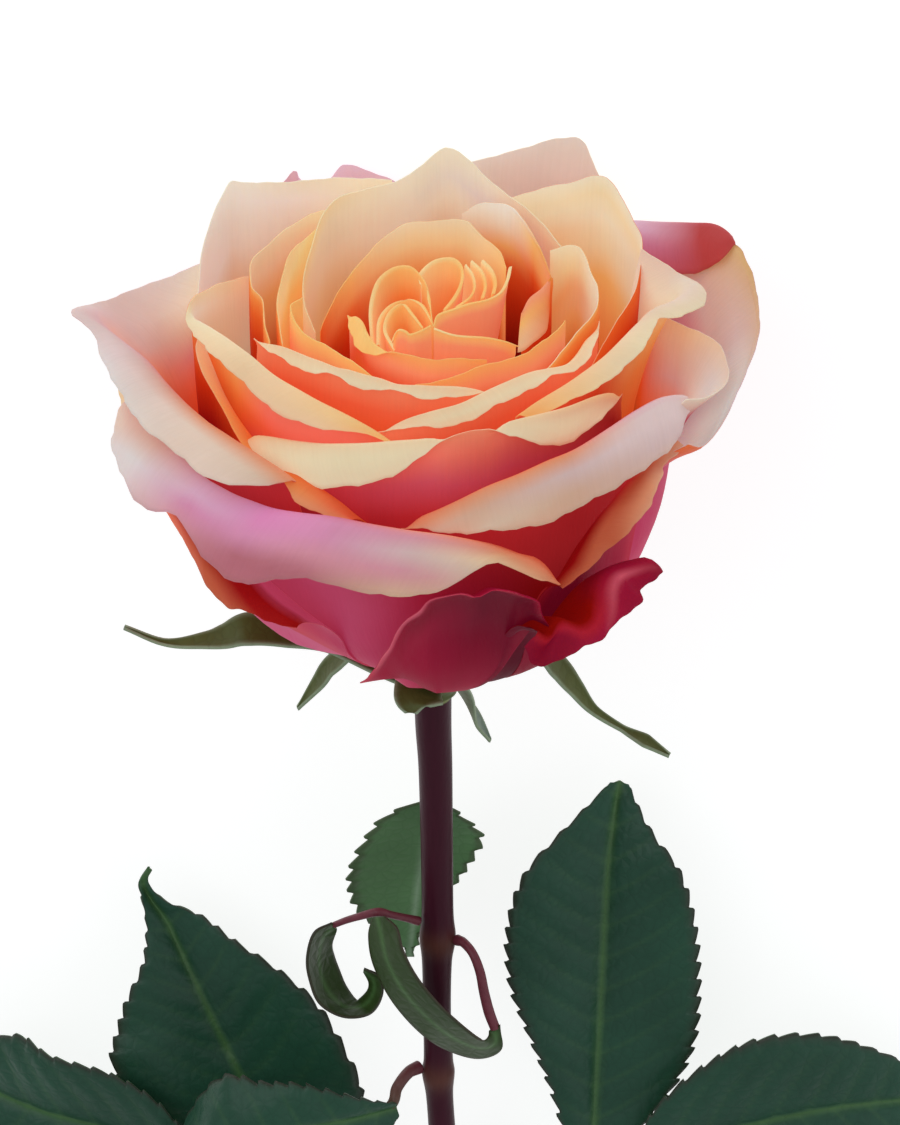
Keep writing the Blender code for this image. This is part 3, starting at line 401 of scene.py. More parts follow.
# Leaflets from base to tip: left edge, rib and right edge in pixels, then distances in front of the axis.
LEAFLETS = {
    "right_end": [
        ((590, 1158), (592, 1160), (596, 1158), -4, -4), ((566, 1132), (594, 1128), (636, 1132), -5, -4),
        ((551, 1088), (596, 1085), (671, 1090), -7, -5), ((530, 1036), (599, 1030), (694, 1040), -9, -6),
        ((510, 983), (602, 974), (699, 985), -11, -8), ((508, 925), (605, 915), (695, 925), -13, -10),
        ((524, 875), (608, 866), (680, 872), -15, -12), ((556, 838), (612, 832), (654, 836), -17, -15),
        ((588, 806), (616, 802), (636, 803), -19, -18), ((610, 783), (620, 781), (629, 785), -20, -20)],
    "right_side": [
        ((636, 1150), (638, 1154), (644, 1162), -2, -2), ((656, 1108), (672, 1146), (690, 1188), -2, -1),
        ((703, 1066), (722, 1132), (745, 1200), -2, 0), ((755, 1041), (780, 1118), (800, 1196), -3, 0),
        ((821, 1036), (840, 1107), (862, 1176), -5, -3), ((881, 1052), (900, 1100), (912, 1142), -8, -7),
        ((930, 1078), (940, 1095), (944, 1112), -11, -11)],
    "right_hidden": [
        ((580, 1160), (576, 1164), (574, 1168), -5, -5), ((530, 1175), (556, 1200), (590, 1206), -6, -5),
        ((500, 1225), (545, 1245), (592, 1252), -7, -5), ((484, 1290), (535, 1300), (585, 1308), -8, -6),
        ((492, 1350), (528, 1355), (562, 1360), -9, -8), ((516, 1395), (523, 1396), (530, 1398), -10, -10)],
    "left_upper": [
        ((268, 1158), (271, 1161), (275, 1158), -4, -4), ((192, 1132), (258, 1116), (350, 1122), -6, -5),
        ((130, 1100), (240, 1075), (362, 1092), -7, -5), ((112, 1060), (226, 1046), (345, 1050), -9, -6),
        ((118, 1030), (212, 1018), (318, 1006), -10, -8), ((127, 1000), (199, 990), (280, 972), -11, -9),
        ((143, 965), (184, 958), (236, 942), -13, -11), ((147, 930), (167, 922), (200, 915), -15, -14),
        ((142, 900), (150, 898), (165, 900), -16, -15), ((139, 883), (143, 882), (148, 883), -16, -16),
        ((148, 868), (149, 870), (151, 871), -15, -15)],
    "left_end": [
        ((204, 1160), (206, 1165), (208, 1170), 0, 0), ((160, 1106), (160, 1145), (165, 1186), -2, 0),
        ((110, 1074), (105, 1128), (110, 1196), -4, -1), ((51, 1056), (45, 1112), (50, 1180), -6, -3),
        ((16, 1036), (0, 1094), (0, 1150), -9, -6), ((-30, 1046), (-40, 1076), (-36, 1104), -12, -11),
        ((-64, 1060), (-66, 1064), (-66, 1068), -14, -14)],
    "left_near": [
        ((396, 1103), (397, 1108), (398, 1114), 6, 6), ((356, 1098), (350, 1120), (368, 1160), 9, 9),
        ((300, 1085), (296, 1130), (312, 1185), 11, 9), ((262, 1083), (250, 1135), (256, 1198), 12, 8),
        ((225, 1077), (212, 1142), (212, 1204), 11, 6), ((192, 1110), (185, 1155), (185, 1198), 8, 3),
        ((170, 1160), (166, 1172), (170, 1186), 4, 2)],
    "left_hidden": [
        ((280, 1160), (276, 1164), (272, 1168), -4, -4), ((330, 1205), (290, 1210), (254, 1216), -5, -4),
        ((356, 1250), (304, 1262), (252, 1274), -6, -4), ((360, 1300), (318, 1316), (270, 1326), -8, -6),
        ((352, 1356), (330, 1362), (304, 1370), -9, -8), ((343, 1398), (340, 1400), (336, 1402), -10, -10)],
}
LEAF_PARTS = {
    "leaf_left": ["left_upper", "left_end", "left_near", "left_hidden"],
    "leaf_right": ["right_end", "right_side", "right_hidden"],
}

# Leaf stalks: pixel, distance in front of the axis, radius.
STALKS = {
    "leaf_left": [
        [(419, 1067, 0.4, 1.1), (408, 1073, 2, 0.95), (397, 1088, 4, 0.9), (392, 1104, 5.5, 0.85),
         (370, 1125, 4, 0.8), (330, 1148, 0, 0.8), (272, 1160, -4, 0.8), (200, 1166, 0, 0.8)]],
    "leaf_right": [
        [(465.6, 1200, -0.4, 1.1), (490, 1196, -3, 0.95), (540, 1180, -6, 0.85), (580, 1164, -6, 0.8),
         (594, 1150, -4, 0.8)],
        [(574, 1168, -6, 0.75), (610, 1160, -4, 0.75), (642, 1152, -2, 0.7)]],
    "bract_left": [
        [(418.6, 921, 1.0, 0.75), (406, 918, 2, 0.62), (392, 915, 3, 0.6), (378, 912, 3.5, 0.7),
         (361, 916, 3, 0.6), (347, 920, 2, 0.55), (334, 925, 1, 0.5)]],
    "bract_right": [
        [(457.2, 940, 1.0, 0.9), (464, 943, 2.4, 0.75), (473, 954, 4.2, 0.7), (480, 972, 5.6, 0.75),
         (484, 992, 6.6, 0.8), (489, 1012, 7.4, 0.85), (495, 1028, 7.8, 0.8)]],
    "leaf_back": [[(437, 790, -3.4, 0.8), (437, 796, -5.2, 0.75), (436, 809, -6.7, 0.72)]],
}

# Narrow blades: middle line, then the two edges as offsets from it.
BRACTS = {
    "bract_left": [
        ((334, 925, 1), (-2, -2, 0.5), (3, 5, -0.5)), ((322, 938, 1), (-8, -5, 2), (10, 6, -2)),
        ((318, 958, 1.5), (-11, 0, 3), (16, -2, -3)), ((321, 978, 2), (-11, 3, 3), (19, -6, -3)),
        ((330, 995, 2.5), (-10, 9, 3), (16, -9, -3)), ((346, 1008, 3), (-2, 9, 3), (10, -8, -3)),
        ((364, 1006, 3.5), (6, 8, 2), (-3, -8, -2)), ((374, 993, 4), (8, 3, 1.5), (-6, -3, -1.5)),
        ((374, 979, 4), (6, -2, 1), (-5, 3, -1)), ((364, 970, 4), (0, -1.5, 0.4), (0, 1.5, -0.4))],
    "bract_right": [
        ((495, 1028, 7.8), (5, -3, 0.4), (-5, 3, -0.4)), ((494, 1043, 8.4), (7, 6, -1), (-8, -4, 1)),
        ((478, 1047, 9.2), (0, 11, -2), (0, -9, 2)), ((452, 1036, 9.8), (-6, 13, -2.5), (6, -14, 2)),
        ((428, 1017, 10.0), (-9, 14, -2.5), (10, -14, 2)), ((404, 990, 9.6), (-12, 10, -2.5), (13, -13, 2)),
        ((388, 960, 8.8), (-14, 5, -2.5), (15, -10, 2)), ((382, 934, 7.4), (-13, 2, -2), (15, -6, 1.5)),
        ((378, 917, 6.0), (-5, 0, -0.6), (6, -1, 0.6))],
    "leaf_back": [
        ((436, 803, -6.3), (-12, -3, 0), (6, -1, 0)), ((430, 817, -7.4), (-44, 0, 1), (34, 2, 0.6)),
        ((426, 836, -9), (-60, 4, 2), (55, 2, 1)), ((422, 858, -10.5), (-70, 10, 2.5), (48, 4, 1)),
        ((418, 882, -12), (-67, 10, 2.5), (36, 2, 1)), ((415, 908, -13.5), (-52, 8, 2), (24, 2, 0.8)),
        ((412, 934, -14.5), (-20, 0, 1), (8, 0, 0.4)), ((410, 956, -15), (-1.5, 0, 0), (1.5, 0, 0))],
}


def smooth_curve(points: np.ndarray, places: np.ndarray) -> np.ndarray:
    """A Catmull-Rom curve: a cubic through each pair of points whose slopes join the points beside them.

    Args:
        points: One point a row, with any number of numbers in it.
        places: Where to read the curve, from 0 to the last point's number.

    Returns:
        One row for each place.
    """
    points = np.asarray(points, dtype=float)
    padded = np.concatenate([2 * points[:1] - points[1:2], points, 2 * points[-1:] - points[-2:-1]])
    start = np.clip(np.floor(places).astype(int), 0, len(points) - 2)
    share = (np.asarray(places) - start).reshape((-1,) + (1,) * (points.ndim - 1))
    before, here, there, after = (padded[start + step] for step in range(4))
    return 0.5 * (2 * here + (there - before) * share
                  + (2 * before - 5 * here + 4 * there - after) * share ** 2
                  + (3 * here - before - 3 * there + after) * share ** 3)


def even_places(points: np.ndarray, count: int) -> np.ndarray:
    """Places along a row of points that are evenly far apart."""
    walked = np.concatenate([[0.0], np.cumsum(np.linalg.norm(np.diff(points, axis=0), axis=1))])
    return np.interp(np.linspace(0.0, walked[-1], count), walked, np.arange(len(points)))


def edged_places(points: np.ndarray, count: int) -> np.ndarray:
    """Even places with one more close to either end, which keeps the sides of a blade crisp."""
    places = even_places(points, count)
    return np.sort(np.append(places,
                             [BORDER_STEP * places[1], places[-1] - BORDER_STEP * (places[-1] - places[-2])]))


def smooth_rows(rows: np.ndarray, counts: Sequence[int]) -> np.ndarray:
    """A smooth surface through rows of points: cubics whose slopes are weighed by the steps beside them.

    Args:
        rows: Control rows, each with one point a column.
        counts: How many new rows each step between control rows is cut into.

    Returns:
        The fine rows, the last control row among them.
    """
    steps = np.maximum(np.linalg.norm(np.diff(rows, axis=0), axis=-1, keepdims=True), 0.01)
    slopes = np.diff(rows, axis=0) / steps
    inner = (slopes[:-1] * steps[1:] + slopes[1:] * steps[:-1]) / (steps[1:] + steps[:-1])
    slopes = np.concatenate([slopes[:1], inner, slopes[-1:]])
    parts = []
    for place, count in enumerate(counts):
        share = (np.arange(count) / count)[:, None, None]
        cube = share ** 3
        square = share ** 2
        parts.append((2 * cube - 3 * square + 1) * rows[place]
                     + (cube - 2 * square + share) * steps[place] * slopes[place]
                     + (3 * square - 2 * cube) * rows[place + 1]
                     + (cube - square) * steps[place] * slopes[place + 1])
    return np.concatenate(parts + [rows[-1:]])


def smooth_step(value: np.ndarray) -> np.ndarray:
    """0 below 0, 1 above 1, and a soft rise between."""
    value = np.clip(value, 0.0, 1.0)
    return value * value * (3.0 - 2.0 * value)


def grid_normals(grid: np.ndarray) -> np.ndarray:
    """Unit vectors square to a grid of points, on the side that its across and along turn towards."""
    normal = np.cross(np.gradient(grid, axis=1), np.gradient(grid, axis=0))
    return normal / np.maximum(np.linalg.norm(normal, axis=-1, keepdims=True), 1e-9)


def walked_lengths(grid: np.ndarray, axis: int) -> np.ndarray:
    """Distance walked along one axis of a grid, from its first row or column."""
    steps = np.linalg.norm(np.diff(grid, axis=axis), axis=-1)
    start = np.zeros_like(np.take(steps, [0], axis=axis))
    return np.concatenate([start, np.cumsum(steps, axis=axis)], axis=axis)


@dataclass
class Skin:
    """A closed mesh in the making: its points, faces, and what is painted on each point."""

    points: np.ndarray
    faces: List[np.ndarray]
    tint: np.ndarray
    weave: np.ndarray

    @classmethod
    def blade(cls, middle: np.ndarray, half: np.ndarray, faces_tint: Sequence[np.ndarray]) -> "Skin":
        """Two faces, each half a thickness from a grid of middle points, sewn together round the border.

        Args:
            middle: Grid of points, in metres.
            half: Half the thickness at each point, in metres.
            faces_tint: Colours of the face on the side of the normals and of the other one.

        Returns:
            The closed skin.
        """
        rows, columns = middle.shape[:2]
        normal = grid_normals(middle)
        reach = normal * half[..., None]
        number = np.arange(rows * columns).reshape(rows, columns)
        upper = np.stack([number[:-1, :-1], number[:-1, 1:], number[1:, 1:], number[1:, :-1]], axis=-1)
        upper = upper.reshape(-1, 4)
        border = np.concatenate([number[0, :-1], number[:-1, -1], number[-1, :0:-1], number[:0:-1, 0]])
        ahead = np.roll(border, -1)
        under = rows * columns
        rim = np.stack([ahead, border, border + under, ahead + under], axis=-1)
        across = walked_lengths(middle, 1) / METRES
        along = walked_lengths(middle, 0) / METRES
        weave = np.stack([across - across[:, columns // 2, None], along], axis=-1).reshape(-1, 2)
        return cls(np.concatenate([(middle + reach).reshape(-1, 3), (middle - reach).reshape(-1, 3)]),
                   [upper, upper[:, ::-1] + under, rim],
                   np.concatenate([face.reshape(-1, 3) for face in faces_tint]),
                   np.tile(weave, (2, 1)))

    @classmethod
    def tube(cls, rings: np.ndarray, tint: np.ndarray) -> "Skin":
        """A closed tube over rings of points, with a cap of triangles at each end.

        Args:
            rings: Grid of points, one ring a row.
            tint: One colour a ring.

        Returns:
            The closed skin.
        """
        rows, sides = rings.shape[:2]
        number = np.arange(rows * sides).reshape(rows, sides)
        here = number[:-1]
        there = number[1:]
        walls = np.stack([here, np.roll(here, -1, axis=1), np.roll(there, -1, axis=1), there], axis=-1)
        foot = rows * sides
        ends = [np.stack([np.roll(number[0], -1), number[0], np.full(sides, foot)], axis=-1),
                np.stack([number[-1], np.roll(number[-1], -1), np.full(sides, foot + 1)], axis=-1)]
        points = np.concatenate([rings.reshape(-1, 3), rings[:1].mean(axis=1), rings[-1:].mean(axis=1)])
        along = np.repeat(walked_lengths(rings, 0)[:, :1], sides, axis=1)
        across = np.repeat(np.linspace(0.0, 1.0, sides)[None], rows, axis=0)
        weave = np.concatenate([np.stack([across, along], axis=-1).reshape(-1, 2), np.zeros((2, 2))])
        shade = np.concatenate([np.repeat(tint, sides, axis=0), tint[:1], tint[-1:]])
        return cls(points, [walls.reshape(-1, 4)] + ends, shade, weave)

    def laid(self) -> "Skin":
        """The skin laid down in the room, with its faces turned outward.

        The sign of the volume, a sum of triple products over the faces, tells which way they look.
        """
        self.points = POSE.lay(self.points)
        return self.turned_out()

    def turned_out(self) -> "Skin":
        """The skin with its faces turned outward."""
        volume = 0.0
        for face in self.faces:
            corners = self.points[face] - self.points[0]
            for last in range(2, face.shape[1]):
                volume += np.einsum("ij,ij->", corners[:, 0],
                                    np.cross(corners[:, last - 1], corners[:, last]))
        if volume < 0.0:
            self.faces = [face[:, ::-1] for face in self.faces]
        return self

    @classmethod
    def joined(cls, skins: Sequence["Skin"]) -> "Skin":
        """Several skins as one mesh, each still closed."""
        starts = np.cumsum([0] + [len(skin.points) for skin in skins[:-1]])
        faces = [face + start for skin, start in zip(skins, starts) for face in skin.faces]
        points, tint, weave = (np.concatenate([getattr(skin, part) for skin in skins])
                               for part in ("points", "tint", "weave"))
        return cls(points, faces, tint, weave)

    def piece(self, name: str, slot: Slot, material: bpy.types.Material, *nodes: str) -> bpy.types.Object:
        """The skin as an object of the scene that rides on the rose and stands for CAD nodes.

        Args:
            name: Name of the piece.
            slot: Not used.
            material: Its material.
            nodes: CAD nodes that it replaces.

        Returns:
            The new object.
        """
        mesh = bpy.data.meshes.new(name)
        corners = np.concatenate([face.reshape(-1) for face in self.faces])
        sizes = np.concatenate([np.full(len(face), face.shape[1]) for face in self.faces])
        mesh.vertices.add(len(self.points))
        mesh.vertices.foreach_set("co", self.points.astype(np.float32).ravel())
        mesh.loops.add(len(corners))
        mesh.loops.foreach_set("vertex_index", corners.astype(np.int32))
        mesh.polygons.add(len(sizes))
        mesh.polygons.foreach_set("loop_start", np.concatenate([[0], np.cumsum(sizes)[:-1]]).astype(np.int32))
        mesh.update(calc_edges=True)
        mesh.validate()
        mesh.polygons.foreach_set("use_smooth", np.ones(len(sizes), dtype=bool))
        paint = mesh.attributes.new("tint", "FLOAT_COLOR", "POINT")
        opaque = np.ones((len(self.points), 1))
        paint.data.foreach_set("color",
                               np.concatenate([self.tint, opaque], axis=1).astype(np.float32).ravel())
        layer = mesh.uv_layers.new(name="weave")
        layer.data.foreach_set("uv", self.weave[corners].astype(np.float32).ravel())
        mesh.materials.append(material)
        thing = bpy.data.objects.new(name, mesh)
        bpy.context.scene.collection.objects.link(thing)
        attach(thing, "root")
        if nodes:
            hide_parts(*nodes)
        LOG.info("%s: %d points, %d faces", name, len(self.points), len(sizes))
        return thing


def ring_tube(path: np.ndarray, radii: np.ndarray, sides: int) -> np.ndarray:
    """Rings of points round a path: each ring is square to the path, turned the same way as the others.

    Args:
        path: Points of the middle line.
        radii: One radius a point.
        sides: Points in a ring.

    Returns:
        A grid with one ring a row.
    """
    along = np.gradient(path, axis=0)
    along /= np.linalg.norm(along, axis=1, keepdims=True)
    first = np.cross(along, np.array(RING_WAY))
    first /= np.linalg.norm(first, axis=1, keepdims=True)
    second = np.cross(along, first)
    turn = np.linspace(0.0, 2.0 * math.pi, sides, endpoint=False)
    return path[:, None] + radii[:, None, None] * (
        first[:, None] * np.cos(turn)[None, :, None] + second[:, None] * np.sin(turn)[None, :, None])


# Deep in the cup the fades turn darker and redder: partly the petals' own colour, partly painted shade.
@dataclass(frozen=True)
class Fade:
    """Colours along a petal: pairs of millimetres past the crest, below 0 inside the cup, and a hue."""

    stops: Tuple[Tuple[float, Hue], ...]

    def at(self, past: np.ndarray) -> np.ndarray:
        """Linear colours at distances past the crest."""
        places = [place for place, _ in self.stops]
        colours = np.array([hue.linear for _, hue in self.stops])
        return np.stack([np.interp(past, places, colours[:, channel]) for channel in range(3)], axis=-1)


def fade(*stops: Union[float, Hue]) -> Fade:
    """A fade through its stops: a distance, its hue, the next distance, its hue."""
    return Fade(tuple(zip(stops[::2], stops[1::2])))


def spread_fades(fades: Sequence[Fade], past: np.ndarray, share: np.ndarray) -> np.ndarray:
    """Colours where fades stand side by side across a petal and blend into each other.

    Args:
        fades: One fade or more, from the petal's first side to its last.
        past: Distances past the crest.
        share: Places across the petal, from 0 to 1.

    Returns:
        One colour a point.
    """
    if len(fades) == 1:
        return fades[0].at(past)
    place = share * (len(fades) - 1)
    weights = [np.clip(1.0 - np.abs(place - number), 0.0, 1.0) for number in range(len(fades))]
    return sum(weight[..., None] * one.at(past) for weight, one in zip(weights, fades))


@dataclass(frozen=True)
class Tone:
    """Fades of a petal's two faces, each from the first station's side to the last one's."""

    inner: Tuple[Fade, ...]
    outer: Tuple[Fade, ...]


# Short name for the tables below.
H = Hue

# Fades that several petals share; their dark red stops deep in the cup are partly painted shade.
GOLD = Tone(
    (fade(-18, H.FLAME, -13, H.ORANGE, -8, H.HONEY, -4, H.BUTTER, 1, H.BUTTER),
     fade(-18, H.FLAME, -10, H.TANGERINE, -5, H.ORANGE, -2.5, H.APRICOT, 1, H.HONEY),
     fade(-18, H.FLAME, -12, H.TANGERINE, -6, H.ORANGE, -3, H.APRICOT, 1, H.HONEY)),
    (fade(-18, H.TANGERINE, -12, H.SALMON, -2, H.SALMON, 0, H.HONEY, 1, H.BUTTER),))
RING = Tone(
    (fade(-20, H.FLAME, -12, H.TANGERINE, -7, H.ORANGE, -3.5, H.APRICOT, -1.2, H.HONEY, 1, H.HONEY),),
    (fade(-16, H.FLAME, -9, H.TANGERINE, -5, H.CORAL, -2, H.SALMON, 1, H.APRICOT),))
NEST_BACK = fade(-20, H.EMBER, -8, H.FLAME, -3, H.TANGERINE, 0, H.ORANGE, 1, H.APRICOT)
NEST = Tone(
    (fade(-34, H.EMBER, -28, H.FLAME, -22, H.TANGERINE, -17, H.ORANGE, -12, H.APRICOT, -6.5, H.HONEY,
          -2.5, H.BUTTER, 1, H.BUTTER),), (NEST_BACK,))
WARM = fade(-44, H.FLAME, -32, H.TANGERINE, -24, H.ORANGE, -18, H.HONEY, -12, H.BUTTER, -7, H.IVORY,
            -2, H.IVORY, 1, H.BUTTER)
BACK_OUTSIDE = (fade(-40, H.TANGERINE, -20, H.APRICOT, -5, H.PEACH, 1, H.CREAM),)
FRONT_WAVE = Tone(
    (fade(-24, H.FLAME, -10, H.ORANGE, -2, H.HONEY, 0, H.PEACH, 1.5, H.CREAM, 4, H.PEACH),),
    (fade(-22, H.FLAME, -14, H.TANGERINE, -6, H.CORAL, 2, H.SALMON, 4, H.SALMON),))
DUSK = fade(-34, H.EMBER, -26, H.FLAME, -18, H.TANGERINE, -12, H.APRICOT, -8, H.HONEY, -3, H.IVORY,
            1, H.IVORY)
DAWN = fade(-22, H.FLAME, -13, H.TANGERINE, -7, H.APRICOT, -3, H.BUTTER, 1, H.IVORY)
VEILED = fade(-20, H.BLUSH, 1, H.VEIL)
